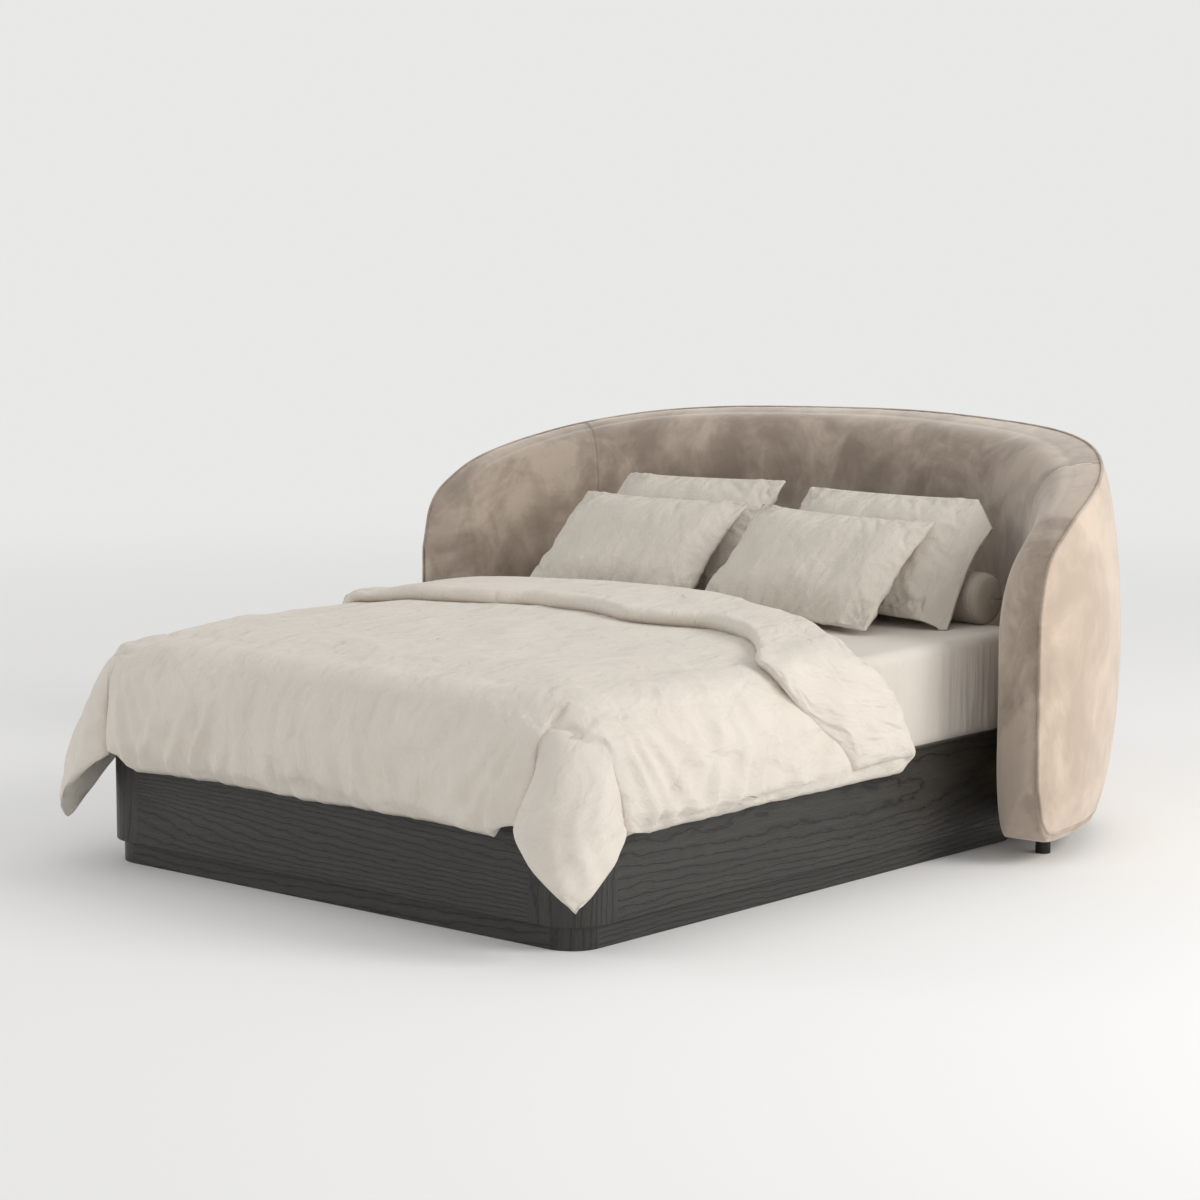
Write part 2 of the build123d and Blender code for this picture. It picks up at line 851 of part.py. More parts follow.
# Hem: level round the bed, dipping to a point at each foot corner
hem_low = -cut_overrun
tip = duvet_tip_floor_gap
hem = duvet_hem_floor_gap
tip_x = half_width + duvet_reach
tip_y = foot_y - duvet_reach
tip_middle = tip + hem_curve_rise_share * (hem - tip)
side_tip_end = tip_y + duvet_side_tip_run
with BuildPart() as hem_cut:
    with BuildSketch(Plane.XZ.offset(-plan_foot_y)):
        with BuildLine():
            Line((-plan_x, hem_low), (-plan_x, tip))
            Line((-plan_x, tip), (-tip_x, tip))
            ThreePointArc(
                (-tip_x, tip),
                (hem_curve_share * duvet_tip_run - tip_x, tip_middle),
                (duvet_tip_run - tip_x, hem),
            )
            Line((duvet_tip_run - tip_x, hem), (tip_x - duvet_tip_run, hem))
            ThreePointArc(
                (tip_x - duvet_tip_run, hem),
                (tip_x - hem_curve_share * duvet_tip_run, tip_middle),
                (tip_x, tip),
            )
            Line((tip_x, tip), (plan_x, tip))
            Line((plan_x, tip), (plan_x, hem_low))
            Line((plan_x, hem_low), (-plan_x, hem_low))
        make_face()
    extrude(amount=plan_foot_y - foot_y - box_corner)
    with BuildSketch(Plane.YZ.offset(-plan_x)):
        with BuildLine():
            Line((plan_foot_y, hem_low), (plan_foot_y, tip))
            Line((plan_foot_y, tip), (tip_y, tip))
            ThreePointArc(
                (tip_y, tip),
                (tip_y + hem_curve_share * duvet_side_tip_run, tip_middle),
                (side_tip_end, hem),
            )
            Line((side_tip_end, hem), (head_y, hem))
            Line((head_y, hem), (head_y, hem_low))
            Line((head_y, hem_low), (plan_foot_y, hem_low))
        make_face()
    extrude(amount=2 * plan_x)

lower_hollow = half_width - mattress_width / 2 + duvet_side_clearance
upper_hollow = sheet_thickness + mattress_gap
hollow_step = rail_top + duvet_side_clearance
with BuildPart() as folded_band:
    add(duvet_block(duvet_band_rise, duvet_band_swell))
    add(plan_region(lip_edge_y, duvet_lip_lean), mode=Mode.INTERSECT)

with BuildPart() as duvet:
    add(duvet_block(0, 0))
    add(plan_region(plan_foot_y, 0), mode=Mode.INTERSECT)
    add(folded_band.part)
    add(
        rounded_slab(lower_hollow, mattress_corner + lower_hollow, hem_low, hollow_step),
        mode=Mode.SUBTRACT,
    )
    add(
        rounded_slab(
            upper_hollow,
            mattress_corner + upper_hollow,
            rail_top,
            rest_height,
            mattress_edge,
        ),
        mode=Mode.SUBTRACT,
    )
    add(hem_cut.part, mode=Mode.SUBTRACT)
save("duvet", duvet.part)


# Pillows and bolster
def pillow_outline(plane, level, size, bow):
    """A pillow's outline at one level: four bowed sides between its corners."""
    x = size * pillow_width / 2
    y = size * pillow_height / 2
    middle_x = x + bow * pillow_height
    middle_y_here = y + bow * pillow_height
    with BuildSketch(plane.offset(level)) as outline:
        with BuildLine():
            ThreePointArc((-x, -y), (0, -middle_y_here), (x, -y))
            ThreePointArc((x, -y), (middle_x, 0), (x, y))
            ThreePointArc((x, y), (0, middle_y_here), (-x, y))
            ThreePointArc((-x, y), (-middle_x, 0), (-x, -y))
        make_face()
    return outline.sketch


def pillow(x, from_foot, lean):
    """A crowned pillow that leans back, its lower seam resting on the sheet."""
    up_y = cos(radians(lean))
    up_z = sin(radians(lean))
    plane = Plane(
        origin=(
            x,
            foot_y + from_foot + up_y * pillow_height / 2,
            rest_height + up_z * pillow_height / 2,
        ),
        x_dir=(1, 0, 0),
        z_dir=(0, -up_z, up_y),
    )
    with BuildPart() as piece:
        for face in (-1, 1):
            loft(
                sections=[
                    pillow_outline(plane, face * level * pillow_thickness / 2, size, bow)
                    for level, size, bow in pillow_level_shares
                ]
            )
    lift = rest_height - piece.part.bounding_box().min.Z
    return Pos(0, 0, lift) * piece.part


bolster_place = (foot_y + bolster_from_foot, rest_height + bolster_radius)
with BuildPart() as bolster:
    with BuildSketch(Plane.YZ.offset(-bolster_half_length)):
        with Locations(bolster_place):
            Circle(bolster_radius)
    extrude(amount=2 * bolster_half_length)
    fillet(bolster.edges().filter_by(GeomType.CIRCLE), radius=bolster_end_radius)
save("bolster", bolster.part)

# The hollows that the bolster presses into the rear pillows and the rear pillows
# press into the front ones, a little larger than what presses
with BuildPart() as bolster_hollow:
    with BuildSketch(Plane.YZ.offset(-bolster_half_length)):
        with Locations(bolster_place):
            Circle(bolster_radius + lift_clearance)
    extrude(amount=2 * bolster_half_length)

pillow_x = (pillow_width + pillow_gap) / 2
press_y = -lift_clearance * sin(radians(rear_pillow_lean))
press_z = lift_clearance * cos(radians(rear_pillow_lean))
for name, side in sides.items():
    rear_x = side * (pillow_x + rear_pillow_spread)
    with BuildPart() as rear:
        add(pillow(rear_x, rear_pillow_from_foot, rear_pillow_lean))
        add(bolster_hollow.part, mode=Mode.SUBTRACT)
    save(f"pillow_rear_{name}", rear.part)
    with BuildPart() as front:
        add(pillow(side * pillow_x, front_pillow_from_foot, front_pillow_lean))
        add(Pos(0, press_y, press_z) * rear.part, mode=Mode.SUBTRACT)
    save(f"pillow_front_{name}", front.part)
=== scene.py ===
# A double bed: stained oak plinth base, curved suede headboard, mattress and bedding
import itertools
import math
import bmesh
import bpy
import numpy as np
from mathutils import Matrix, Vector, bvhtree, kdtree


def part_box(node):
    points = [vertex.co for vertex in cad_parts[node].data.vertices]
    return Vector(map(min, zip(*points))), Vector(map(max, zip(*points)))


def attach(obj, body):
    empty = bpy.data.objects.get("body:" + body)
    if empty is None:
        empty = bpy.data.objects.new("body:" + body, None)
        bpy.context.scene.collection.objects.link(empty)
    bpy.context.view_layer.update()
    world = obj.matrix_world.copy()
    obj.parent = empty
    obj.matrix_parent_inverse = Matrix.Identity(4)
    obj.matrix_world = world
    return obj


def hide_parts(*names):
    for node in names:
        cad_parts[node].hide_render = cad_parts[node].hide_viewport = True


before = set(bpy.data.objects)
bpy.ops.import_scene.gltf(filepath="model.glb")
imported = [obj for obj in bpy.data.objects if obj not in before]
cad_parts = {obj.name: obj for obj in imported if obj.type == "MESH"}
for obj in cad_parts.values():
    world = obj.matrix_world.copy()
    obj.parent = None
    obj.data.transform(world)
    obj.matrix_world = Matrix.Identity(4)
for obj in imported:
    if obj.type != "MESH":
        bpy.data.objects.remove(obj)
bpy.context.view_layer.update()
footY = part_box("foot_panel")[0].y  # the base's foot face, where the bed begins
print("frame loaded:", len(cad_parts), "nodes")


# Small tools for meshes and grids
def softNoise(points, scale, seed=0):  # smooth lattice noise from -1 to 1
    place = np.asarray(points, float) * scale + 11.7 * seed + 100
    cell = np.floor(place).astype(np.int64)
    way = place - cell
    way = way * way * (3 - 2 * way)
    total = np.zeros(len(place))
    for corner in itertools.product((0, 1), repeat=3):
        at = cell + np.array(corner)
        mixed = at[:, 0] * 374761393 + at[:, 1] * 668265263 + at[:, 2] * 2147483647
        mixed = (mixed ^ (mixed >> 13)) * 1274126177
        mixed = mixed ^ (mixed >> 16)
        value = (mixed & 0xFFFF) / 32767.5 - 1
        weight = np.ones(len(place))
        for axis, side in enumerate(corner):
            weight = weight * (way[:, axis] if side else 1 - way[:, axis])
        total += weight * value
    return total


def layeredNoise(points, scale, seed=0, layers=3):
    total = np.zeros(len(points))
    for layer in range(layers):
        total += softNoise(points, scale * 2**layer, seed + layer) / 2**layer
    return total


def easedTable(table, where):  # smooth curves through a table's rows, with no overshoot
    xs = np.array(sorted(table), float)
    ys = np.array([np.atleast_1d(table[x]) for x in sorted(table)], float)
    where = np.clip(np.asarray(where, float), xs[0], xs[-1])
    span = np.diff(xs)
    slope = np.diff(ys, axis=0) / span[:, None]
    tangent = np.zeros_like(ys)
    alike = slope[:-1] * slope[1:] > 0
    product = 2 * slope[:-1] * slope[1:]
    tangent[1:-1] = np.where(alike, product / np.where(alike, slope[:-1] + slope[1:], 1), 0)
    tangent[-1] = slope[-1]
    index = np.clip(np.searchsorted(xs, where, side="right") - 1, 0, len(xs) - 2)
    way = ((where - xs[index]) / span[index])[:, None]
    back = 1 - way
    reach = span[index][:, None]
    return (
        ys[index] * (1 + 2 * way) * back**2
        + tangent[index] * reach * way * back**2
        + ys[index + 1] * (1 + 2 * back) * way**2
        - tangent[index + 1] * reach * back * way**2
    )


def gridFaces(rows, columns, closeRows=False, closeColumns=False, start=0):
    lastRow = rows if closeRows else rows - 1
    lastColumn = columns if closeColumns else columns - 1
    i, j = np.meshgrid(np.arange(lastRow), np.arange(lastColumn), indexing="ij")
    up, over = (i + 1) % rows, (j + 1) % columns
    quads = np.stack(
        [i * columns + j, i * columns + over, up * columns + over, up * columns + j], axis=-1
    )
    return (quads.reshape(-1, 4) + start).tolist()


def unit(ways):
    return ways / np.maximum(np.linalg.norm(ways, axis=-1, keepdims=True), 1e-9)


def gridNormals(grid, closeRows=False, closeColumns=False):
    def along(axis, closed):
        if closed:
            return np.roll(grid, -1, axis) - np.roll(grid, 1, axis)
        return np.gradient(grid, axis=axis)

    return unit(np.cross(along(0, closeRows), along(1, closeColumns)))


def makePiece(name, points, faces, finish, flat=None):
    mesh = bpy.data.meshes.new(name)
    mesh.from_pydata(np.asarray(points, float).reshape(-1, 3).tolist(), [], faces)
    if flat is not None:  # the cloth's own flat coordinates, in metres
        flat = np.asarray(flat, np.float32).reshape(-1, 2)
        layer = mesh.uv_layers.new(name="flat")
        corner = np.empty(len(mesh.loops), np.int32)
        mesh.loops.foreach_get("vertex_index", corner)
        layer.data.foreach_set("uv", flat[corner].ravel())
    work = bmesh.new()
    work.from_mesh(mesh)
    bmesh.ops.remove_doubles(work, verts=work.verts, dist=2e-5)
    bmesh.ops.dissolve_degenerate(work, edges=work.edges, dist=1e-6)
    bmesh.ops.recalc_face_normals(work, faces=work.faces)
    if all(edge.is_manifold for edge in work.edges) and work.calc_volume(signed=True) < 0:
        bmesh.ops.reverse_faces(work, faces=work.faces)
    work.to_mesh(mesh)
    work.free()
    mesh.polygons.foreach_set("use_smooth", [True] * len(mesh.polygons))
    piece = bpy.data.objects.new(name, mesh)
    bpy.context.scene.collection.objects.link(piece)
    piece.data.materials.append(finish)
    return piece


def plainCopy(source, name, finish):  # the evaluated shape as a mesh with no modifier
    bpy.context.view_layer.update()
    depsgraph = bpy.context.evaluated_depsgraph_get()
    mesh = bpy.data.meshes.new_from_object(source.evaluated_get(depsgraph))
    piece = bpy.data.objects.new(name, mesh)
    bpy.context.scene.collection.objects.link(piece)
    if not mesh.materials:
        mesh.materials.append(finish)
    bpy.data.objects.remove(source)
    return piece


def addNode(tree, kind, inputs=None, **settings):
    made = tree.nodes.new(kind)
    for key, value in settings.items():
        setattr(made, key, value)
    for key, value in (inputs or {}).items():
        if isinstance(value, bpy.types.NodeSocket):
            tree.links.new(value, made.inputs[key])
        else:
            made.inputs[key].default_value = value
    return made


def maths(tree, operation, *values):
    return addNode(tree, "ShaderNodeMath", dict(enumerate(values)), operation=operation).outputs[0]


def smoothRange(tree, value, low, high):
    inputs = {"Value": value, 1: low, 2: high}
    made = addNode(tree, "ShaderNodeMapRange", inputs, interpolation_type="SMOOTHSTEP")
    return made.outputs[0]


def objectPlace(tree):
    return addNode(tree, "ShaderNodeTexCoord").outputs["Object"]


def newFinish(name, roughness, specular=0.3):
    finish = bpy.data.materials.new(name)
    finish.use_nodes = True
    shader = finish.node_tree.nodes["Principled BSDF"]
    shader.inputs["Roughness"].default_value = roughness
    shader.inputs["Specular IOR Level"].default_value = specular
    return finish, finish.node_tree, shader


# Studio: pale seamless floor, an even sky and one large soft lamp from behind on the right
studio = {
    "cameraPlace": (6.882, footY - 6.695, 2.166),
    "cameraTilt": 82.114,
    "cameraTurn": 41.29,
    "lens": 107.54,
    "sensor": 36,
    "floorReach": 60,
    "floorDrop": 0.0005,
    "floorColour": (0.93, 0.928, 0.92, 1),
    "floorRoughness": 0.9,
    "floorSpecular": 0.1,
    "background": (0.812, 0.812, 0.805, 1),
    "skyColour": (1, 1, 1, 1),
    "skyStrength": 0.67,
    "keyPlace": (7.2, 2.1, 4.2),
    "keyAim": (0, 0, 0.4),
    "keySize": 4.0,
    "keyPower": 325,
    "keyColour": (1, 0.985, 0.96),
    "fillPlace": (-6.5, -5.0, 4.2),
    "fillSize": 3,
    "fillPower": 70,
    "fadeStart": 3.2,
    "fadeEnd": 9,
}


def addLamp(name, place, size, power, colour=(1, 1, 1)):
    light = bpy.data.lights.new(name, "AREA")
    light.shape = "DISK"
    light.size = size
    light.energy = power
    light.color = colour
    lamp = bpy.data.objects.new(name, light)
    lamp.location = place
    aim = Vector(studio["keyAim"]) - Vector(place)
    lamp.rotation_euler = aim.to_track_quat("-Z", "Y").to_euler()
    bpy.context.scene.collection.objects.link(lamp)


def buildStudio():
    scene = bpy.context.scene
    scene.view_settings.view_transform = "Standard"
    shot = bpy.data.cameras.new("camera")
    shot.lens = studio["lens"]
    shot.sensor_width = studio["sensor"]
    camera = bpy.data.objects.new("camera", shot)
    camera.location = studio["cameraPlace"]
    turn = (math.radians(studio["cameraTilt"]), 0, math.radians(studio["cameraTurn"]))
    camera.rotation_euler = turn
    scene.collection.objects.link(camera)
    scene.camera = camera
    world = bpy.data.worlds.new("softSky")
    scene.world = world
    world.use_nodes = True
    tree = world.node_tree
    tree.nodes.clear()
    light = {"Color": studio["skyColour"], "Strength": studio["skyStrength"]}
    sky = addNode(tree, "ShaderNodeBackground", light)
    paper = addNode(tree, "ShaderNodeBackground", {"Color": studio["background"], "Strength": 1})
    rays = addNode(tree, "ShaderNodeLightPath")
    seen = rays.outputs["Is Camera Ray"]
    for kind in ("Transmission", "Glossy"):
        seen = maths(tree, "MAXIMUM", seen, rays.outputs[f"Is {kind} Ray"])
    mixed = addNode(tree, "ShaderNodeMixShader", {0: seen, 1: sky.outputs[0], 2: paper.outputs[0]})
    addNode(tree, "ShaderNodeOutputWorld", {"Surface": mixed.outputs[0]})
    roughness, specular = studio["floorRoughness"], studio["floorSpecular"]
    finish, tree, shader = newFinish("floorPaper", roughness, specular)
    shader.inputs["Base Color"].default_value = studio["floorColour"]
    far = addNode(tree, "ShaderNodeVectorMath", {0: objectPlace(tree)}, operation="LENGTH")
    faded = smoothRange(tree, far.outputs["Value"], studio["fadeStart"], studio["fadeEnd"])
    cameraRay = addNode(tree, "ShaderNodeLightPath").outputs["Is Camera Ray"]
    share = maths(tree, "MULTIPLY", faded, cameraRay)
    paper = addNode(tree, "ShaderNodeEmission", {"Color": studio["background"], "Strength": 1})
    sides = {0: share, 1: shader.outputs[0], 2: paper.outputs[0]}
    blended = addNode(tree, "ShaderNodeMixShader", sides)
    tree.links.new(blended.outputs[0], tree.nodes["Material Output"].inputs["Surface"])
    reach = studio["floorReach"]
    corners = [(-reach, -reach, 0), (reach, -reach, 0), (reach, reach, 0), (-reach, reach, 0)]
    floor = makePiece("studioFloor", corners, [(0, 1, 2, 3)], finish)
    floor.location.z = -studio["floorDrop"]
    addLamp(
        "keyLamp", studio["keyPlace"], studio["keySize"], studio["keyPower"], studio["keyColour"]
    )
    addLamp("fillLamp", studio["fillPlace"], studio["fillSize"], studio["fillPower"])


buildStudio()
print("studio built")


# Finishes
def ramp(tree, factor, stops):
    made = addNode(tree, "ShaderNodeValToRGB", {"Fac": factor})
    elements = made.color_ramp.elements
    while len(elements) < len(stops):
        elements.new(0.5)
    for element, (place, colour) in zip(elements, stops):
        element.position = place
        element.color = (*colour, 1) if len(colour) == 3 else colour
    return made.outputs["Color"]


def mixColours(tree, factor, first, second, kind="MIX"):
    made = addNode(tree, "ShaderNodeMix", data_type="RGBA", blend_type=kind)
    for index, value in ((0, factor), (6, first), (7, second)):
        if isinstance(value, bpy.types.NodeSocket):
            tree.links.new(value, made.inputs[index])
        else:
            made.inputs[index].default_value = value
    return made.outputs[2]


def noiseNode(tree, vector, scale, detail=3, roughness=0.5, distortion=0):
    names = ("Vector", "Scale", "Detail", "Roughness", "Distortion")
    inputs = dict(zip(names, (vector, scale, detail, roughness, distortion)))
    return addNode(tree, "ShaderNodeTexNoise", inputs).outputs["Fac"]


def mapped(tree, coordinates, scale=(1, 1, 1), turn=(0, 0, 0), place=(0, 0, 0)):
    inputs = {"Vector": coordinates, "Location": place, "Rotation": turn, "Scale": scale}
    return addNode(tree, "ShaderNodeMapping", inputs).outputs[0]


def bump(tree, shader, layers):  # (height, distance in metres), the coarsest first
    normal = None
    for height, distance in layers:
        inputs = {"Height": height, "Distance": distance, "Strength": 1.0}
        if normal is not None:
            inputs["Normal"] = normal
        normal = addNode(tree, "ShaderNodeBump", inputs).outputs[0]
    tree.links.new(normal, shader.inputs["Normal"])


def flatPlace(tree):
    return addNode(tree, "ShaderNodeUVMap", uv_map="flat").outputs[0]


oak = {
    "pale": (0.036, 0.034, 0.0275),
    "middle": (0.026, 0.0245, 0.0195),
    "dark": (0.006, 0.0056, 0.0048),
    "growthScale": 3.2,
    "growthWander": 26,
    "linesPerMetre": 38,
    "stretch": 0.13,
    "wander": 1.3,
    "poreScale": 620,
    "streakScale": 95,
    "ringTones": (
        (0, "dark"),
        (0.05, "dark"),
        (0.14, "middle"),
        (0.5, "pale"),
        (0.93, "middle"),
        (1, "dark"),
    ),
    "grainTurns": {"X": (0, 0, 0), "Y": (0, 0, math.pi / 2), "Z": (0, math.pi / 2, 0)},
}


def oakFinish(name, grainAxis, seed):
    finish, tree, shader = newFinish(name, 0.42, 0.55)
    turned = mapped(tree, objectPlace(tree), turn=oak["grainTurns"][grainAxis])
    apart = (seed, 0.37 * seed, 1.3 * seed)
    board = mapped(tree, turned, scale=(oak["stretch"], 1, 1), place=apart)
    field = noiseNode(tree, board, oak["growthScale"], 1.2, 0.3, 0.1)
    wobble = noiseNode(tree, mapped(tree, turned, scale=(2.6, 8, 8)), 4, 3, 0.6)
    density = (0, oak["linesPerMetre"], oak["linesPerMetre"])
    across = addNode(tree, "ShaderNodeVectorMath", {0: turned, 1: density}, operation="DOT_PRODUCT")
    counted = maths(tree, "MULTIPLY_ADD", field, oak["growthWander"], across.outputs["Value"])
    rings = maths(tree, "FRACT", maths(tree, "MULTIPLY_ADD", wobble, oak["wander"], counted))
    pores = noiseNode(tree, mapped(tree, turned, scale=(0.022, 1, 1)), oak["poreScale"], 2, 0.6)
    streaks = noiseNode(tree, mapped(tree, turned, scale=(0.03, 1, 1)), oak["streakScale"], 3, 0.6)
    lines = ramp(tree, rings, [(place, oak[tone]) for place, tone in oak["ringTones"]])
    streaked = ramp(tree, streaks, [(0.3, (0.6,) * 3), (0.7, (1.3,) * 3)])
    toned = mixColours(tree, 0.6, lines, streaked, "MULTIPLY")
    pored = ramp(tree, pores, [(0.38, (0.45,) * 3), (0.5, (1,) * 3)])
    tree.links.new(mixColours(tree, 0.7, toned, pored, "MULTIPLY"), shader.inputs["Base Color"])
    ringHeight = ramp(tree, rings, [(0, (0,) * 3), (0.12, (1,) * 3), (1, (0.8,) * 3)])
    poreHeight = ramp(tree, pores, [(0.34, (0,) * 3), (0.5, (1,) * 3)])
    bump(tree, shader, [(ringHeight, 0.0005), (poreHeight, 0.0003)])
    return finish


def paleWoodFinish(name, pale, dark, grainAxis, plies=False):
    finish, tree, shader = newFinish(name, 0.55)
    turned = mapped(tree, objectPlace(tree), turn=oak["grainTurns"][grainAxis])
    grain = noiseNode(tree, mapped(tree, turned, scale=(0.12, 1, 1)), 30, 4, 0.6, 0.4)
    fine = noiseNode(tree, mapped(tree, turned, scale=(0.03, 1, 1)), 260, 2)
    colour = ramp(tree, grain, [(0.35, dark), (0.65, pale)])
    if plies:
        stripes = noiseNode(tree, mapped(tree, turned, scale=(0.02, 0.02, 1)), 220, 0)
        colour = mixColours(tree, 0.5, colour, ramp(tree, stripes, [(0.45, dark), (0.55, pale)]))
    tree.links.new(colour, shader.inputs["Base Color"])
    bump(tree, shader, [(fine, 0.0002)])
    return finish


def zincFinish():
    finish, tree, shader = newFinish("zincPlate", 0.34, 0.5)
    shader.inputs["Metallic"].default_value = 1
    spangle = noiseNode(tree, objectPlace(tree), 180, 3)
    colour = ramp(tree, spangle, [(0.3, (0.42, 0.43, 0.44)), (0.7, (0.62, 0.63, 0.64))])
    tree.links.new(colour, shader.inputs["Base Color"])
    bump(tree, shader, [(spangle, 0.00008)])
    return finish


def footFinish():
    finish, tree, shader = newFinish("mouldedFoot", 0.5)
    grain = noiseNode(tree, objectPlace(tree), 900, 2)
    colour = ramp(tree, grain, [(0.3, (0.012,) * 3), (0.7, (0.024,) * 3)])
    tree.links.new(colour, shader.inputs["Base Color"])
    bump(tree, shader, [(grain, 0.0001)])
    return finish


suede = {
    "pale": (0.47, 0.388, 0.318),
    "middle": (0.37, 0.3, 0.242),
    "deep": (0.28, 0.222, 0.176),
    "patchScale": 3.1,
    "strokeScale": 8.5,
    "fibreScale": 1400,
    "sheen": 0.75,
    "sheenTint": (1, 0.93, 0.86, 1),
}


def suedeFinish(name, brightness=1.0, contrast=1.0):
    finish, tree, shader = newFinish(name, 0.88, 0.18)
    place = objectPlace(tree)
    patches = noiseNode(tree, place, suede["patchScale"], 6, 0.62, 0.7)
    brushed = mapped(tree, place, scale=(1, 1, 0.55), turn=(0.3, 0.5, 0.2))
    strokes = noiseNode(tree, brushed, suede["strokeScale"], 4, 0.6, 0.9)
    summed = maths(tree, "MULTIPLY_ADD", strokes, 0.5, patches)
    middle = np.array(suede["middle"])
    tones = [
        tuple(brightness * (middle + contrast * (np.array(suede[key]) - middle)))
        for key in ("deep", "middle", "pale")
    ]
    colour = ramp(tree, summed, [(0.62, tones[0]), (0.75, tones[1]), (0.86, tones[2])])
    fibre = noiseNode(tree, place, suede["fibreScale"], 2, 0.6)
    tint = ramp(tree, fibre, [(0.25, (0.9,) * 3), (0.75, (1.08,) * 3)])
    tree.links.new(mixColours(tree, 1.0, colour, tint, "MULTIPLY"), shader.inputs["Base Color"])
    shader.inputs["Sheen Weight"].default_value = suede["sheen"]
    shader.inputs["Sheen Roughness"].default_value = 0.45
    shader.inputs["Sheen Tint"].default_value = suede["sheenTint"]
    bump(tree, shader, [(summed, 0.0016), (fibre, 0.0003)])
    return finish


def clothFinish(name, pale, deep, thread, creases, creaseHeight, slubs, sheen, gathers):
    finish, tree, shader = newFinish(name, 0.9, 0.15)
    flat = flatPlace(tree)
    bands = {"Vector": flat, "Scale": 1 / thread / 20, "Distortion": 0.6, "Detail": 1}
    weave = [
        addNode(tree, "ShaderNodeTexWave", bands, bands_direction=direction).outputs["Fac"]
        for direction in ("X", "Y")
    ]
    threads = maths(tree, "ADD", *weave)
    across = noiseNode(tree, mapped(tree, flat, scale=(1, 0.06, 1)), 1.1 / thread, 1)
    down = noiseNode(tree, mapped(tree, flat, scale=(0.06, 1, 1)), 1.1 / thread, 1)
    slub = maths(tree, "ADD", across, down)
    blotch = noiseNode(tree, flat, 5.5, 4, 0.6)
    turned = mapped(tree, flat, scale=(1, 0.6, 1), turn=(0, 0, 0.6))
    crease = noiseNode(tree, turned, creases, 3, 0.5, 0.4)
    small = noiseNode(tree, mapped(tree, turned, place=(3, 7, 0)), 2.3 * creases, 3, 0.5, 0.6)
    colour = ramp(tree, blotch, [(0.3, deep), (0.7, pale)])
    slubTint = ramp(tree, slub, [(0.35, (1 - slubs,) * 3), (0.65, (1 + slubs,) * 3)])
    tree.links.new(mixColours(tree, 1.0, colour, slubTint, "MULTIPLY"), shader.inputs["Base Color"])
    shader.inputs["Sheen Weight"].default_value = sheen
    shader.inputs["Sheen Roughness"].default_value = 0.5
    layers = [(crease, creaseHeight), (small, 0.5 * creaseHeight)]
    if gathers:  # fine upright pleats below the sheet's upper edge
        place = objectPlace(tree)
        height = addNode(tree, "ShaderNodeSeparateXYZ", {0: place}).outputs[2]
        below = smoothRange(tree, height, 0.635, 0.585)
        pleats = noiseNode(tree, mapped(tree, place, scale=(2, 42, 2.5)), 1, 2, 0.5)
        layers.append((maths(tree, "MULTIPLY", pleats, below), gathers))
    bump(tree, shader, [*layers, (slub, 0.25 * thread), (threads, 0.3 * thread)])
    return finish


finishes = {
    "oakX": oakFinish("stainedOakAcross", "X", 1.7),
    "oakY": oakFinish("stainedOakAlong", "Y", 4.3),
    "oakZ": oakFinish("stainedOakUpright", "Z", 7.9),
    "softwoodX": paleWoodFinish("softwoodAcross", (0.62, 0.44, 0.26), (0.47, 0.31, 0.17), "X"),
    "softwoodY": paleWoodFinish("softwoodAlong", (0.62, 0.44, 0.26), (0.47, 0.31, 0.17), "Y"),
    "beech": paleWoodFinish("beechSlat", (0.62, 0.42, 0.25), (0.5, 0.32, 0.18), "X"),
    "plywood": paleWoodFinish("birchPlywood", (0.6, 0.43, 0.27), (0.4, 0.26, 0.15), "X", True),
    "zinc": zincFinish(),
    "foot": footFinish(),
    "suede": suedeFinish("suedeCover"),
    # the outer shell is the same suede made 1.55 times brighter with flatter patches: painted light
    # for the key lamp falling on the headboard's outer side
    "suedeOuterPaintedLight": suedeFinish("suedeOuterPaintedLight", 1.55, 0.5),
    "suedeWelt": suedeFinish("suedeWelt", 1.05),
}
# Colours, thread width, crease scale and height, slubs, sheen, height of the gathers
cloths = {
    "duvet": ((0.74, 0.685, 0.61), (0.7, 0.643, 0.568), 0.0006, 7, 0.024, 0.02, 0.15, 0),
    "sheet": ((0.7, 0.655, 0.59), (0.665, 0.62, 0.555), 0.0005, 5, 0.004, 0.015, 0.15, 0.006),
    "linen": ((0.635, 0.585, 0.515), (0.575, 0.53, 0.462), 0.0011, 9, 0.015, 0.07, 0.1, 0),
    # the bolster's linen is much darker than the pillows' linen: painted shade for the shadow
    # between the pillows and the headboard
    "bolsterLinenPaintedShade": ((0.4, 0.355, 0.3), (0.35, 0.31, 0.26), 0.0011, 9, 0.006, 0.07, 0.1, 0),
    "linenSeam": ((0.5, 0.455, 0.39), (0.45, 0.405, 0.345), 0.0011, 9, 0.001, 0.05, 0.1, 0),
    "knit": ((0.8, 0.78, 0.73), (0.74, 0.72, 0.67), 0.0016, 12, 0.001, 0, 0.15, 0),
}
clothNames = {
    "duvet": "washedCotton",
    "sheet": "sheetCotton",
    "linen": "slubLinen",
    "bolsterLinenPaintedShade": "bolsterLinenPaintedShade",
    "linenSeam": "linenSeam",
    "knit": "mattressKnit",
}
for key, values in cloths.items():
    finishes[key] = clothFinish(clothNames[key], *values)
print("finishes made:", len(finishes))

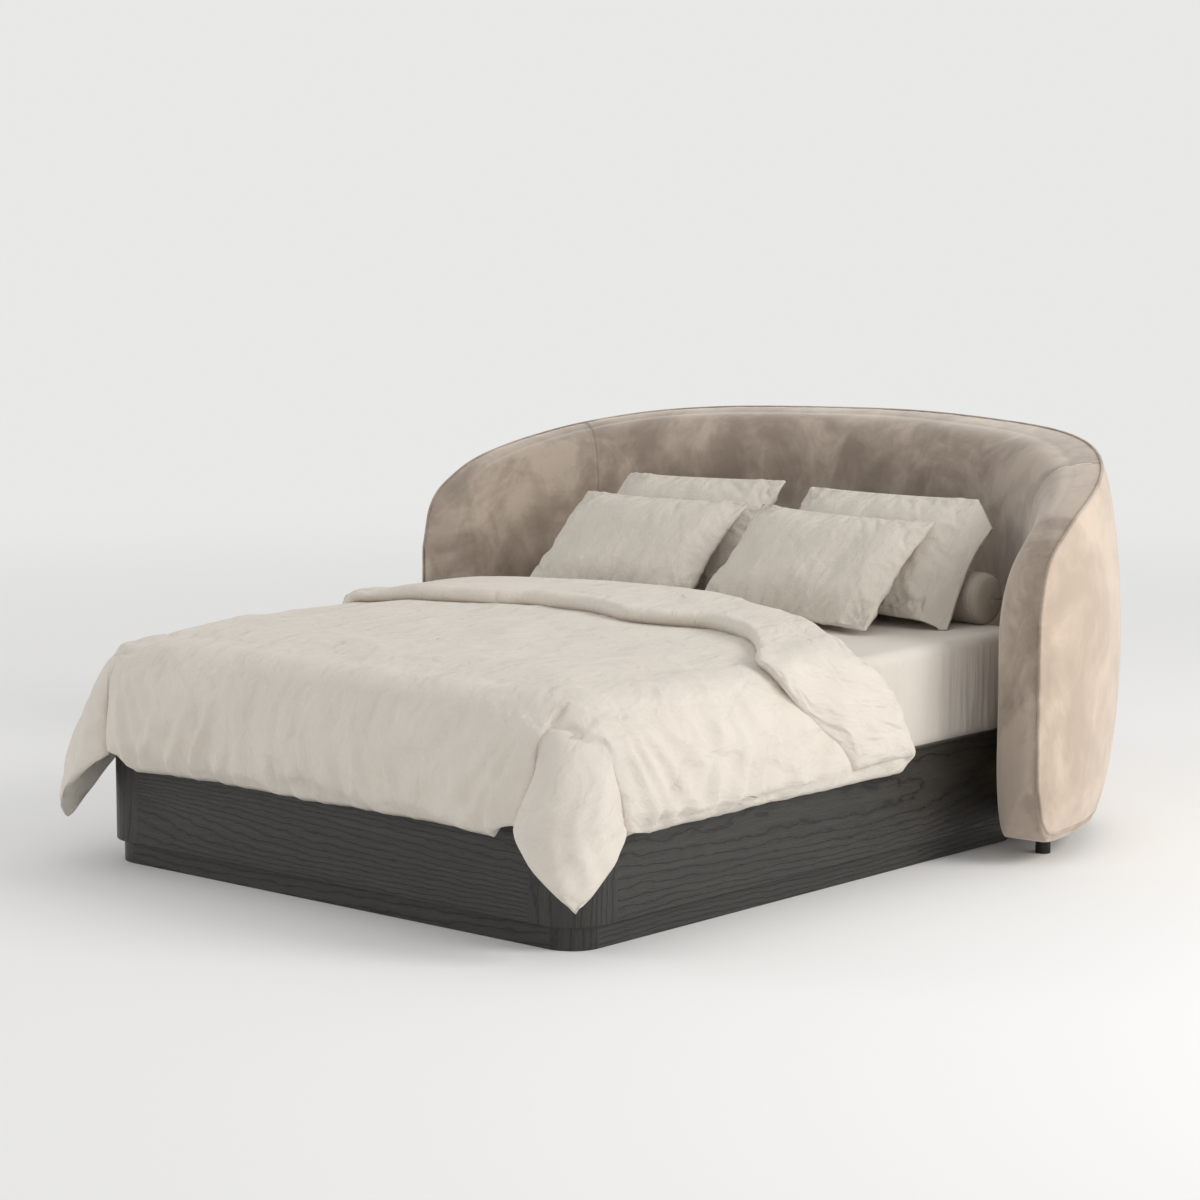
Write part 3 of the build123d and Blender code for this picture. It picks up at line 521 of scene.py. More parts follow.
# The construction keeps its CAD shapes and gets its finishes
nodeFinishes = {
    "oakX": ["plinth_foot_board", "plinth_head_board", "foot_panel", "head_panel"],
    "oakY": ["plinth_left_board", "plinth_right_board", "left_panel", "right_panel"],
    "oakZ": [f"{end}_{side}_post" for end in ("foot", "head") for side in ("left", "right")]
    + ["plinth_corners"],
    "softwoodX": ["foot_frame_board", "head_frame_board", "corner_blocks", "foot_blocks"],
    "softwoodY": ["left_frame_board", "right_frame_board", "middle_beam"],
    "beech": [f"slat_{number:02d}" for number in range(1, 13)],
    "plywood": [f"headboard_core_{side}" for side in ("left", "centre", "right")]
    + ["left_head_arm", "right_head_arm", "left_wing_spacer", "right_wing_spacer"],
    "zinc": ["slat_screws", "headboard_bolts", "beam_hangers"],
    "foot": ["middle_legs", "headboard_feet"],
}
for key, nodeNames in nodeFinishes.items():
    for nodeName in nodeNames:
        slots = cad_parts[nodeName].data.materials
        slots.clear()
        slots.append(finishes[key])
print("construction finished")

# Headboard: the sections that the construction uses, drawn finer and upholstered
headboard = {
    "weltHalfWidth": 1.21,
    "weltDepth": 1.03,
    "planExponent": 2.1,
    "wingFront": footY + 1.65,
    "height": 1.178,
    "wingDrop": 0.438,
    "floorGap": 0.065,
    "frontRise": 0.135,
    "padding": 0.26,
    "bulge": 0.066,
    "rollWidth": 0.15,
    "rollHeight": 0.29,
    "topCrown": 0.006,
    "topFall": 0.008,
    "taperHeight": 0.23,
    "taper": 0.05,
    "footHeight": 0.03,
    "footInset": 0.03,
    "gap": 0.0004,
    "seamAngle": 57,
    "seamDip": 0.0042,
    "seamSoftness": 0.012,
    "puckerDepth": 0.0012,
    "puckersPerMetre": 34,
    "lumpDepth": 0.0016,
    "lumpsPerMetre": 5,
    "noseCrown": 0.012,
    "weltRadius": 0.0046,
    "weltSink": 0.0012,
    "noseBow": 0.004,
    "seamCordRadius": 0.0024,
    "seamCordRise": 0.0016,
    "seamCordEnd": 0.008,
    "shownSteps": {"top": 12, "roll": 26, "face": 18, "taper": 14, "under": 8},
    "hiddenSteps": {"heel": 5, "back": 8},
    "bellySteps": 44,
    "stations": {
        0: (0, 0, 1, 1, 0.72),
        16: (0.014, 0, 0.985, 1, 0.72),
        30: (0.03, 0, 0.946, 1, 0.72),
        42: (0.064, 0, 0.904, 1, 0.72),
        57: (0.155, 0, 0.827, 0.98, 0.75),
        65: (0.228, 0, 0.787, 0.96, 0.82),
        72: (0.304, 0, 0.76, 0.92, 0.9),
        79: (0.404, 0, 0.738, 0.83, 1),
        84: (0.523, 0, 0.731, 0.7, 1),
        87: (0.623, 0.04, 0.685, 0.5, 0.95),
        88.8: (0.749, 0.3, 0.558, 0.3, 0.8),
        90: (1, 1, 0.327, 0.08, 0.55),
    },
}


def planPlaces(angles):  # the welt's places seen from above, and the directions inwards
    h = headboard
    turn = np.radians(angles)
    power = 2 / h["planExponent"]
    across = np.abs(np.sin(turn)) ** power
    along = np.clip(np.cos(turn), 0, 1) ** power
    slope = np.stack(
        [
            -np.sign(angles) * across ** (h["planExponent"] - 1) / h["weltHalfWidth"],
            -(along ** (h["planExponent"] - 1)) / h["weltDepth"],
        ],
        axis=-1,
    )
    places = np.stack(
        [np.sign(angles) * across * h["weltHalfWidth"], h["wingFront"] + along * h["weltDepth"]],
        axis=-1,
    )
    return places, slope / np.linalg.norm(slope, axis=-1, keepdims=True)


def sectionSizes(angles):
    h = headboard
    drop, rise, thick, bulge, roll = easedTable(h["stations"], np.abs(angles)).T[:, :, None]
    return {
        "top": h["height"] - drop * h["wingDrop"],
        "floor": h["floorGap"] + rise * h["frontRise"],
        "thick": thick,
        "bulge": bulge * h["bulge"],
        "roll": roll * h["rollHeight"],
    }


def joinedParts(parts, rows):
    axes = [[value + np.zeros((rows, 1)) for value in values] for values in zip(*parts)]
    return np.stack([np.concatenate(values, axis=1) for values in axes], -1)


def paddingSections(angles):  # welt, top, roll, wall, underside and back, as (inwards, up)
    h = headboard
    s = sectionSizes(angles)
    count = h["shownSteps"] | h["hiddenSteps"]
    wall = s["thick"] * h["padding"]
    rollX = wall - s["thick"] * h["rollWidth"]
    rollTop = s["top"] - h["topFall"]
    rollLow = rollTop - s["roll"]
    taperTop = s["floor"] + h["taperHeight"]
    footX = wall - s["thick"] * h["taper"]
    outerX = h["gap"] + s["thick"] * h["footInset"]
    backLow = s["floor"] + h["footHeight"]

    def steps(part):
        return np.linspace(0, 1, count[part], endpoint=False)[None, :]

    def quarter(part):
        turn = steps(part) * math.pi / 2
        return np.sin(turn) ** 0.92, np.cos(turn) ** 0.92

    t = steps("top")
    top = (
        h["gap"] + (rollX - h["gap"]) * t,
        s["top"] - h["topFall"] * t + h["topCrown"] * np.sin(math.pi * t) ** 0.7,
    )
    out, down = quarter("roll")
    roll = (rollX + (wall - rollX) * out, rollLow + (rollTop - rollLow) * down)
    t = steps("face")
    face = (wall + 0 * t, rollLow + (taperTop - rollLow) * t)
    out, down = quarter("taper")
    taper = (footX + (wall - footX) * down, taperTop - (taperTop - s["floor"]) * out)
    t = steps("under")
    under = (footX + (outerX - footX) * t, s["floor"] + 0 * t)
    out, down = quarter("heel")
    heel = (outerX - (outerX - h["gap"]) * out, backLow - (backLow - s["floor"]) * down)
    t = steps("back")
    back = (h["gap"] + 0 * t, backLow + (s["top"] - backLow) * t)
    parts = (top, roll, face, taper, under, heel, back)
    return joinedParts(parts, len(angles))


def backSections(angles):  # from the welt over the belly to the foot, then up the flat inside
    h = headboard
    s = sectionSizes(angles)
    low = s["floor"] + h["footHeight"]
    t = np.linspace(0, 1, h["bellySteps"], endpoint=False)[None, :]
    eased = (1 - np.cos(math.pi * t)) / 2
    belly = (-s["bulge"] * np.sin(math.pi * eased) ** 0.62, s["top"] + (low - s["top"]) * eased)
    t = np.linspace(0, 1, 10, endpoint=False)[None, :]
    inside = (0 * t + 0 * low, low + (s["top"] - low) * t)
    return joinedParts((belly, inside), len(angles))


def raised(angles, sections):  # sections set up round the plan curve
    places, inwards = planPlaces(angles)
    flat = places[:, None, :] + inwards[:, None, :] * sections[:, :, :1]
    return np.concatenate([flat, sections[:, :, 1:]], axis=-1)


def arcLengths(angles):
    places = planPlaces(angles)[0]
    return np.concatenate([[0], np.cumsum(np.linalg.norm(np.diff(places, axis=0), axis=1))])


def spreadAngles(start, end, count, crowd=1.0):  # even along the curve, crowded at the end
    fine = np.linspace(start, end, 900)
    lengths = arcLengths(fine)
    share = 1 - (1 - np.linspace(0, 1, count)) ** crowd
    return np.interp(share * lengths[-1], lengths, fine)


def closedEnd(ring, outwards, crown, count):  # rings that shrink to a line and close an end
    line = ring.copy()
    if crown:
        low, high = ring[:, 2].min(), ring[:, 2].max()
        line[:, :2] = (ring.min(0) + ring.max(0))[:2] / 2
        inset = 0.5 * np.linalg.norm((ring.max(0) - ring.min(0))[:2])
        line[:, 2] = np.clip(ring[:, 2], low + inset, high - inset)
    else:
        line[:, :2] = ring[0, :2]
    rings = []
    for share in np.linspace(0, 1, count + 1)[1:]:
        lift = crown * math.sin(share * math.pi / 2)
        rings.append(ring + (line - ring) * share + np.array(outwards) * lift)
    return rings


def upholster(name, angles, sections, nodeNames, seamsAt, finish):
    h = headboard
    grid = raised(angles, sections)
    normals = gridNormals(grid, closeColumns=True)
    middle = grid.mean(axis=1, keepdims=True)
    if np.sum((grid - middle) * normals) < 0:
        normals = -normals
    lengths = arcLengths(angles)
    seamPlaces = np.interp(seamsAt, angles, lengths)
    fromSeam = np.abs(lengths[:, None] - seamPlaces).min(axis=1)
    fromWelt = np.linalg.norm(grid - grid[:, :1], axis=-1)
    weltDistance = np.minimum(fromWelt, fromSeam[:, None])
    dip = h["seamDip"] * np.exp(-((fromSeam / h["seamSoftness"]) ** 2))[:, None]
    dip = dip * (1 - np.exp(-fromWelt / 0.03))
    cloth = np.stack([lengths[:, None] + 0 * fromWelt, grid[..., 2], 0 * fromWelt], -1)
    puckers = softNoise(cloth.reshape(-1, 3), h["puckersPerMetre"], 3).reshape(fromWelt.shape)
    lumps = softNoise(grid.reshape(-1, 3), h["lumpsPerMetre"], 8).reshape(fromWelt.shape)
    shift = (
        -dip
        + h["puckerDepth"] * puckers * np.exp(-weltDistance / 0.045)
        + h["lumpDepth"] * lumps * (1 - np.exp(-weltDistance / 0.08))
    )
    fixed = np.isclose(weltDistance, 0)
    grid = grid + normals * np.where(fixed, 0, shift)[..., None]
    rings = list(grid)
    for end in (0, -1):
        closed = abs(angles[end]) > 89.9
        outwards = (0, -1, 0) if closed else (0, 0, 0)
        crown = min(h["noseCrown"], 0.4 * np.ptp(rings[end][:, 0])) if closed else 0
        more = closedEnd(rings[end], outwards, crown, 7 if closed else 2)
        rings = rings + more if end == -1 else more[::-1] + rings
    grid = np.array(rings)
    faces = gridFaces(len(grid), grid.shape[1], closeColumns=True)
    piece = makePiece(name, grid, faces, finish)
    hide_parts(*nodeNames)
    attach(piece, "bed_frame")


seam = headboard["seamAngle"]
wingRight = spreadAngles(seam, 90, 96, 1.7)
segments = {
    "centre": np.linspace(-seam, seam, 190),
    "left": -wingRight[::-1],
    "right": wingRight,
}
for side, angles in segments.items():
    seams = (-seam, seam) if side == "centre" else (angles[0] if side == "right" else angles[-1],)
    upholster(
        f"headboard_inner_{side}",
        angles,
        paddingSections(angles),
        [f"headboard_padding_{side}"],
        seams,
        finishes["suede"],
    )
    upholster(
        f"headboard_outer_{side}",
        angles,
        backSections(angles),
        [f"back_padding_{side}"],
        seams,
        # the outer shell takes the brightened suede, painted light matching the lit outer side of
        # the wing
        finishes["suedeOuterPaintedLight"],
    )
print("headboard upholstered")


# Cords in the seams, laid along their paths by one node tree
def pipingTree():
    tree = bpy.data.node_groups.new("cordInSeam", "GeometryNodeTree")
    for name, kind in (("Path", "Geometry"), ("Radius", "Float"), ("Finish", "Material")):
        tree.interface.new_socket(name, in_out="INPUT", socket_type="NodeSocket" + kind)
    tree.interface.new_socket("Cord", in_out="OUTPUT", socket_type="NodeSocketGeometry")
    given = addNode(tree, "NodeGroupInput")
    circle = {"Resolution": 12, "Radius": given.outputs["Radius"]}
    section = addNode(tree, "GeometryNodeCurvePrimitiveCircle", circle).outputs["Curve"]
    sweep = {"Curve": given.outputs["Path"], "Profile Curve": section, "Fill Caps": True}
    swept = addNode(tree, "GeometryNodeCurveToMesh", sweep)
    whole = addNode(tree, "GeometryNodeRealizeInstances", {"Geometry": swept.outputs["Mesh"]})
    colour = {"Geometry": whole.outputs["Geometry"], "Material": given.outputs["Finish"]}
    coloured = addNode(tree, "GeometryNodeSetMaterial", colour)
    addNode(tree, "NodeGroupOutput", {"Cord": coloured.outputs["Geometry"]})
    return tree


def setInputs(modifier, values):
    for item in modifier.node_group.interface.items_tree:
        if item.item_type == "SOCKET" and item.in_out == "INPUT" and item.name in values:
            modifier[item.identifier] = values[item.name]


def pathObject(name, paths, closed=False):
    curve = bpy.data.curves.new(name, "CURVE")
    curve.dimensions = "3D"
    for points in paths:
        spline = curve.splines.new("POLY")
        spline.points.add(len(points) - 1)
        flat = np.concatenate([points, np.ones((len(points), 1))], axis=1)
        spline.points.foreach_set("co", flat.ravel())
        spline.use_cyclic_u = closed
    made = bpy.data.objects.new(name, curve)
    bpy.context.scene.collection.objects.link(made)
    return made


cordTree = pipingTree()


def layCord(name, paths, radius, finish, body, closed=False):
    path = pathObject(name + "Path", paths, closed)
    modifier = path.modifiers.new("cord", "NODES")
    modifier.node_group = cordTree
    setInputs(modifier, {"Radius": radius, "Finish": finish})
    piece = plainCopy(path, name, finish)
    work = bmesh.new()
    work.from_mesh(piece.data)
    bmesh.ops.recalc_face_normals(work, faces=work.faces)
    work.to_mesh(piece.data)
    work.free()
    piece.data.polygons.foreach_set("use_smooth", [True] * len(piece.data.polygons))
    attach(piece, body)


def headboardCords():
    h = headboard
    angles = np.concatenate([-wingRight[::-1], segments["centre"][1:-1], wingRight])
    places = planPlaces(angles)[0]
    sizes = sectionSizes(angles)
    top = np.concatenate([places, sizes["top"] + h["weltSink"]], axis=1)
    floor = sizes["floor"] + h["footHeight"]
    low = np.concatenate([places, floor - h["weltSink"]], axis=1)
    fronts = []
    for upper, lower in ((top[-1], low[-1]), (low[0], top[0])):
        share = np.linspace(0, 1, 60)[1:-1, None]
        line = upper + (lower - upper) * share
        line[:, 1] -= h["noseBow"] * np.sin(math.pi * share[:, 0]) ** 0.3
        fronts.append(line)
    loop = np.concatenate([top, fronts[0], low[::-1], fronts[1]])
    welt = finishes["suedeWelt"]
    layCord("headboard_welt", [loop], h["weltRadius"], welt, "bed_frame", True)
    paths = []
    for angle in (-seam, seam):
        at = np.array([float(angle)])
        inner = raised(at, paddingSections(at))[0][: sum(h["shownSteps"].values())]
        outer = raised(at, backSections(at))[0][: h["bellySteps"]]
        side = np.array([*planPlaces(at)[1][0], 0])
        end = sectionSizes(at)["floor"][0] + h["footHeight"] + h["seamCordEnd"]
        for path in (inner, outer):
            outwards = unit(np.cross(np.cross(side, [0, 0, 1]), np.gradient(path, axis=0)))
            if np.sum((path - path.mean(0)) * outwards) < 0:
                outwards = -outwards
            sunk = path - outwards * (h["seamDip"] - h["seamCordRise"])
            paths.append(sunk[path[:, 2] > end][2:])
    layCord("headboard_seam_cords", paths, h["seamCordRadius"], welt, "bed_frame")


headboardCords()
print("headboard corded")


# Cloth simulation: a shape is filled with air for a few frames and kept near where it was
def gridCoordinates(piece):
    points = np.empty(len(piece.data.vertices) * 3)
    piece.data.vertices.foreach_get("co", points)
    return points.reshape(-1, 3)


def fillWithAir(piece, pressure, frames, cap, grow=0.0, bending=0.3, stiffness=15, held=None):
    start = gridCoordinates(piece)
    modifier = piece.modifiers.new("filling", "CLOTH")
    cloth = modifier.settings
    cloth.quality = 5
    cloth.mass = 0.3
    cloth.tension_stiffness = stiffness
    cloth.compression_stiffness = stiffness
    cloth.shear_stiffness = stiffness / 2
    cloth.bending_stiffness = bending
    cloth.use_pressure = True
    cloth.uniform_pressure_force = pressure
    cloth.shrink_min = -grow
    cloth.effector_weights.gravity = 0
    cap = np.asarray(cap, float).reshape(-1, 1)
    modifier.collision_settings.use_collision = False
    if held is not None:
        group = piece.vertex_groups.new(name="held")
        for index in np.nonzero(held > 0.01)[0].tolist():
            group.add([index], float(held[index]), "REPLACE")
        cloth.vertex_group_mass = "held"
    modifier.point_cache.frame_start = 1
    modifier.point_cache.frame_end = frames
    scene = bpy.context.scene
    for frameNumber in range(1, frames + 1):
        scene.frame_set(frameNumber)
    depsgraph = bpy.context.evaluated_depsgraph_get()
    evaluated = piece.evaluated_get(depsgraph)
    points = np.empty(len(start) * 3)
    evaluated.data.vertices.foreach_get("co", points)
    moved = points.reshape(-1, 3) - start
    length = np.linalg.norm(moved, axis=1, keepdims=True)
    kept = cap * np.tanh(length / cap) / np.maximum(length, 1e-9)
    piece.modifiers.remove(modifier)
    piece.vertex_groups.clear()
    piece.data.vertices.foreach_set("co", (start + moved * kept).ravel())
    piece.data.update()
    scene.frame_set(1)


def blockDistance(points, block):  # from a rounded block, and the way out of it
    middle = (block["low"] + block["high"]) / 2
    half = (block["high"] - block["low"]) / 2
    off = points[:, :2] - middle
    beyond = np.abs(off) - half + block["corner"]
    outside = np.maximum(beyond, 0)
    length = np.linalg.norm(outside, axis=1)
    plan = length + np.minimum(beyond.max(axis=1), 0) - block["corner"]
    nearer = np.argmax(beyond, axis=1)[:, None] == np.arange(2)
    way = np.where(length[:, None] > 1e-9, outside / np.maximum(length, 1e-9)[:, None], nearer)
    way = way * np.sign(off)
    edge = block["edge"]
    sideways, upwards = plan + edge, points[:, 2] - block["top"] + edge
    both = np.maximum(np.stack([sideways, upwards], -1), 0)
    reach = np.linalg.norm(both, axis=1)
    distance = reach + np.minimum(np.maximum(sideways, upwards), 0) - edge
    flatShare = np.where(reach > 1e-9, both[:, 0] / np.maximum(reach, 1e-9), sideways > upwards)
    upShare = np.where(reach > 1e-9, both[:, 1] / np.maximum(reach, 1e-9), sideways <= upwards)
    return distance, np.concatenate([way * flatShare[:, None], upShare[:, None]], axis=1)


def clearOf(points, blocks, gap):  # moves points out of the mattress and the base
    for block in blocks:
        distance, way = blockDistance(points, block)
        points = points + way * np.maximum(gap - distance, 0)[:, None]
    return points


bedBlocks = [
    {
        "low": np.array([-0.9018, footY + 0.0182]),
        "high": np.array([0.9018, footY + 2.0218]),
        "top": 0.6298,
        "corner": 0.0718,
        "edge": 0.0298,
    },
    {
        "low": np.array([-0.92, footY]),
        "high": np.array([0.92, footY + 2.04]),
        "top": 0.348,
        "corner": 0.06,
        "edge": 0.002,
    },
]

# Duvet: one quilt from the foot hem up over the mattress, folded back near the pillows
duvet = {
    "sideEdge": 0.826,
    "footEdge": 0.094,
    "level": 0.6515,
    "rounding": 0.12,
    "hem": 0.287,
    "thick": 0.038,
    "edgeThick": 0.024,
    "skirtThick": 0.036,
    "grooveThick": 0.014,
    "bandThick": 0.046,
    "bandRise": 0.05,
    "edgeSoftness": 0.026,
    "plump": 0.004,
    "bandGap": 0.0015,
    "lipWaver": 0.012,
    "restLean": 1.5,
    "flapLean": {"left": 12.5, "right": 10},
    "leanReach": 0.16,
    "cornerReach": 0.13,
    "edgeReach": 0.2,
    "creaseAngle": math.pi / 8,
    "flapSwell": 0.014,
    "flapDrift": 0.036,
    "tipDrop": {"left": 0.045, "right": 0.028},
    "cornerPull": 0.032,
    "pullReach": 0.22,
    "pullDrop": 0.35,
    "grooveDepth": 0.036,
    "tuckShare": 0.35,
    "smoothing": 30,
    "pressure": 2.5,
    "grow": 0.035,
    "frames": 12,
    "freedom": 0.016,
    "crumple": 0.008,
    "crest": {
        -1.3: 1.34,
        -1.05: 1.27,
        -0.9: 1.155,
        -0.7: 1.25,
        -0.46: 1.43,
        -0.2: 1.485,
        0.0: 1.498,
        0.2: 1.455,
        0.46: 1.355,
        0.7: 1.24,
        0.9: 1.145,
        1.05: 1.245,
        1.3: 1.36,
    },
    "lip": {
        -1.3: 1.2,
        -1.07: 1.07,
        -0.92: 0.99,
        -0.84: 0.965,
        -0.66: 1.0,
        -0.54: 1.03,
        -0.4: 1.06,
        -0.27: 1.125,
        -0.1: 1.135,
        0.01: 1.12,
        0.155: 1.075,
        0.27: 1.095,
        0.4: 1.12,
        0.53: 1.08,
        0.68: 1.0,
        0.79: 0.9,
        0.88: 0.785,
        0.93: 0.785,
        1.07: 0.885,
        1.2: 1.01,
        1.3: 1.1,
    },
    "step": 0.0108,
    "coarseStep": 0.06,
    "footFolds": 24,
    "sideFolds": 17,
    "foldSeed": 5,
    "foldSlope": 0.3,
    "foldWidth": (0.013, 0.03),
    "foldSize": (0.009, 0.024),
    "foldTop": (-0.02, 0.24),
    "flapFolds": ((33, 3, 0.007), (41, 2.6, 0.009), (49, 3.2, 0.006), (57, 3, 0.008)),
    "topFans": (
        (15, 3.6, 0.016),
        (26, 3.2, 0.012),
        (38, 3.6, 0.012),
        (52, 4.2, 0.009),
        (67, 5, 0.008),
    ),
    "creaseLayers": ((0.5, 0.32, 8, 3), (-0.35, 0.4, 10.5, 8), (1.2, 0.35, 9, 12)),
}


def smoothStep(value, low, high):
    share = np.clip((value - low) / (high - low), 0, 1)
    return share * share * (3 - 2 * share)


def hangLength():  # of cloth, from the start of the rounded edge to the hem
    d = duvet
    return d["rounding"] * math.pi / 2 + d["level"] - d["rounding"] - d["hem"]


def pastEdges(u, v):  # how far the cloth reaches past the side edge and past the foot edge
    return np.abs(u) - duvet["sideEdge"], hangLength() - v


def cornerPolar(p, q):  # distance and direction from the bed's corner
    past = np.maximum(q, 0)
    return np.hypot(np.maximum(p, 0), past), np.arctan2(past, np.maximum(p, 1e-9))


def profileDrop(length, lean):  # down the rounded edge, then hanging: outwards and down
    bend = duvet["rounding"]
    turn = np.clip(length, 0, bend * math.pi / 2) / bend
    rest = np.maximum(length - bend * math.pi / 2, 0)
    slope = np.radians(lean)
    out = bend * np.sin(turn) + rest * np.sin(slope)
    return out, bend * (1 - np.cos(turn)) + rest * np.cos(slope)


def duvetPlaces(u, v, lift):  # points of the cloth: u across, v up from the foot hem
    d = duvet
    u, v, lift = np.broadcast_arrays(u, v, lift)
    side = np.where(u < 0, -1.0, 1.0)
    p, q = pastEdges(u, v)
    beyondSide, beyondFoot = p > 0, q > 0
    corner = beyondSide & beyondFoot
    r, theta = cornerPolar(p, q)
    onSide = np.where(corner, theta < math.pi / 4, beyondSide)
    fromDiagonal = np.abs(theta - math.pi / 4)
    crease = d["creaseAngle"]
    flap = corner & (fromDiagonal < crease)
    hidden = corner & ~flap
    straightDown = np.where(onSide, np.maximum(p, 0), np.maximum(q, 0))
    down = np.where(flap, r * np.cos(fromDiagonal), straightDown)
    leans = np.where(side < 0, d["flapLean"]["left"], d["flapLean"]["right"])
    away = np.where(corner, 0, np.where(onSide, -q, -p))  # cloth distance from the corner
    farAway = np.maximum(away, 0)
    lean = leans * np.exp(-farAway / d["leanReach"]) * smoothStep(r, 0.05, 0.4) + d["restLean"]
    out, drop = profileDrop(down, lean)
    bent = np.clip(down / d["rounding"], 0, math.pi / 2)
    out = out + lift * np.sin(bent)
    fall = drop - lift * np.cos(bent)
    # Round the corner: the flap spreads, and the cloth beside it is tucked in
    edgeAt = out * math.pi / 4
    creaseAt = np.tan(crease) * down
    beside = edgeAt + away + (creaseAt - edgeAt) * np.exp(-farAway / d["cornerReach"])
    around = np.where(flap, r * np.sin(fromDiagonal), np.where(hidden, creaseAt, beside))
    share = np.clip((fromDiagonal - crease) / crease, 0, 1)
    depth = d["grooveDepth"] * smoothStep(r, 0.2, 0.5)
    inward = np.where(hidden, depth * np.sin(math.pi * share) ** 1.5, 0)
    around = around - np.where(hidden, d["tuckShare"] * depth * np.sin(math.pi * share), 0)
    swell = np.where(flap, np.cos(fromDiagonal / crease * math.pi / 2) ** 1.5, 0)
    out = out - inward + d["flapSwell"] * swell * smoothStep(r, 0.08, 0.3)
    arcEnd = np.maximum(out, 1e-6) * math.pi / 4
    turn = np.minimum(around, arcEnd) / np.maximum(out, 1e-6)
    straight = np.maximum(around - arcEnd, 0)
    angle = np.where(onSide, math.pi / 4 - turn, math.pi / 4 + turn)
    ringX = d["sideEdge"] + out * np.cos(angle) - np.where(onSide, 0, straight)
    ringY = d["footEdge"] - out * np.sin(angle) + np.where(onSide, straight, 0)
    onTop = ~beyondSide & ~beyondFoot
    x = np.where(onTop, np.abs(u), ringX)
    y = np.where(onTop, d["footEdge"] - q, ringY)
    z = d["level"] - np.where(onTop, -lift, fall)
    thinner = (d["thick"] - d["edgeThick"]) / 2
    z = z - thinner * smoothStep(np.maximum(p, q), -d["edgeReach"], 0)
    pull = d["cornerPull"] * np.exp(-((p**2 + q**2) / d["pullReach"] ** 2)) * (side < 0)
    x = x - pull
    y = y + pull
    tips = np.where(side < 0, d["tipDrop"]["left"], d["tipDrop"]["right"])
    toTip = smoothStep(np.minimum(p, q), 0, 0.4)
    z = z - d["pullDrop"] * pull - tips * toTip
    y = y - d["flapDrift"] * toTip * np.where(side > 0, 1, 0.3)
    return np.stack([side * x, footY + y, z], axis=-1)


def hemFolds(u, v):  # soft folds that deepen towards the hems, and fans from the corners
    d = duvet
    random = np.random.default_rng(d["foldSeed"])
    hang = hangLength()
    p, q = pastEdges(u, v)
    height = np.zeros(np.broadcast(u, v).shape)

    def fold(off, width, size, along, top):
        wandering = off + 0.006 * np.sin(along * 23 + 9 * size * 1000)
        return size * np.exp(-((wandering / width) ** 2)) * smoothStep(along, top, hang + 0.02)

    for side in (0, -1, 1):
        count = d["sideFolds"] if side else d["footFolds"]
        places = (np.arange(count) + random.uniform(0.1, 0.9, count)) / count
        for place in places:
            slope = random.uniform(-d["foldSlope"], d["foldSlope"])
            width = random.uniform(*d["foldWidth"])
            size = random.uniform(*d["foldSize"]) * random.choice([1, 1, -0.7])
            top = random.uniform(*d["foldTop"])
            if side:
                at = hang + 0.02 + place * 1.3
                slope = slope - 0.4 * (1 - place)
                shown = (q < 0.02) & (u * side > 0)
                height += fold(v - at - slope * (p - hang), width, size, p, top) * shown
            else:
                at = (place - 0.5) * 2 * d["sideEdge"]
                slope = slope + 0.35 * at
                height += fold(u - at - slope * (q - hang), width, size, q, top) * (p < 0.02)
    theta = np.degrees(cornerPolar(p, q)[1])
    onFlap = smoothStep(np.hypot(p, q), 0.12, 0.4) * ((p > 0) & (q > 0))
    for angle, width, size in d["flapFolds"]:
        bent = theta - angle - 3 * np.sin(np.hypot(p, q) * 21)
        height += size * np.exp(-((bent / width) ** 2)) * onFlap
    for first, second in ((p, -q), (q, -p)):
        lean = np.degrees(np.arctan2(np.maximum(second, 0), np.maximum(first, 1e-6)))
        far = np.hypot(first, second)
        shown = smoothStep(far, 0.1, 0.3) * (1 - smoothStep(far, 0.45, 0.9))
        shown = shown * ((first > 0) & (second > 0) & (u != 0))
        for angle, width, size in d["topFans"]:
            height += size * np.exp(-(((lean - angle) / width) ** 2)) * shown
    return height


def clothCreases(u, v):  # short crossing creases that lie over the whole quilt, in patches
    place = np.stack([u, v, 0 * u], -1).reshape(-1, 3)
    total = np.zeros(len(place))
    for turn, stretch, scale, seed in duvet["creaseLayers"]:
        spin = np.array([[math.cos(turn), -math.sin(turn)], [math.sin(turn), math.cos(turn)]])
        turned = place.copy()
        turned[:, :2] = place[:, :2] @ spin
        turned[:, 0] *= stretch
        sharp = 1 - np.abs(softNoise(turned, scale, seed))
        patches = np.clip(softNoise(place, 3.1, seed + 1) + 0.15, 0, 1)
        total += sharp**2.5 * patches
    return total.reshape(np.shape(u))


def zipped(first, second, progress, wide, column):  # triangles between two rows of grid points
    i = j = 0
    faces = []
    while i < len(first) - 1 or j < len(second) - 1:
        goFirst = j == len(second) - 1 or (
            i < len(first) - 1 and progress[first[i + 1]] <= progress[second[j + 1]]
        )
        corners = (first[i], first[i + 1] if goFirst else second[j + 1], second[j])
        if len(set(corners)) == 3:
            faces.append([row * wide + column for row in corners])
        i, j = (i + 1, j) if goFirst else (i, j + 1)
    return faces


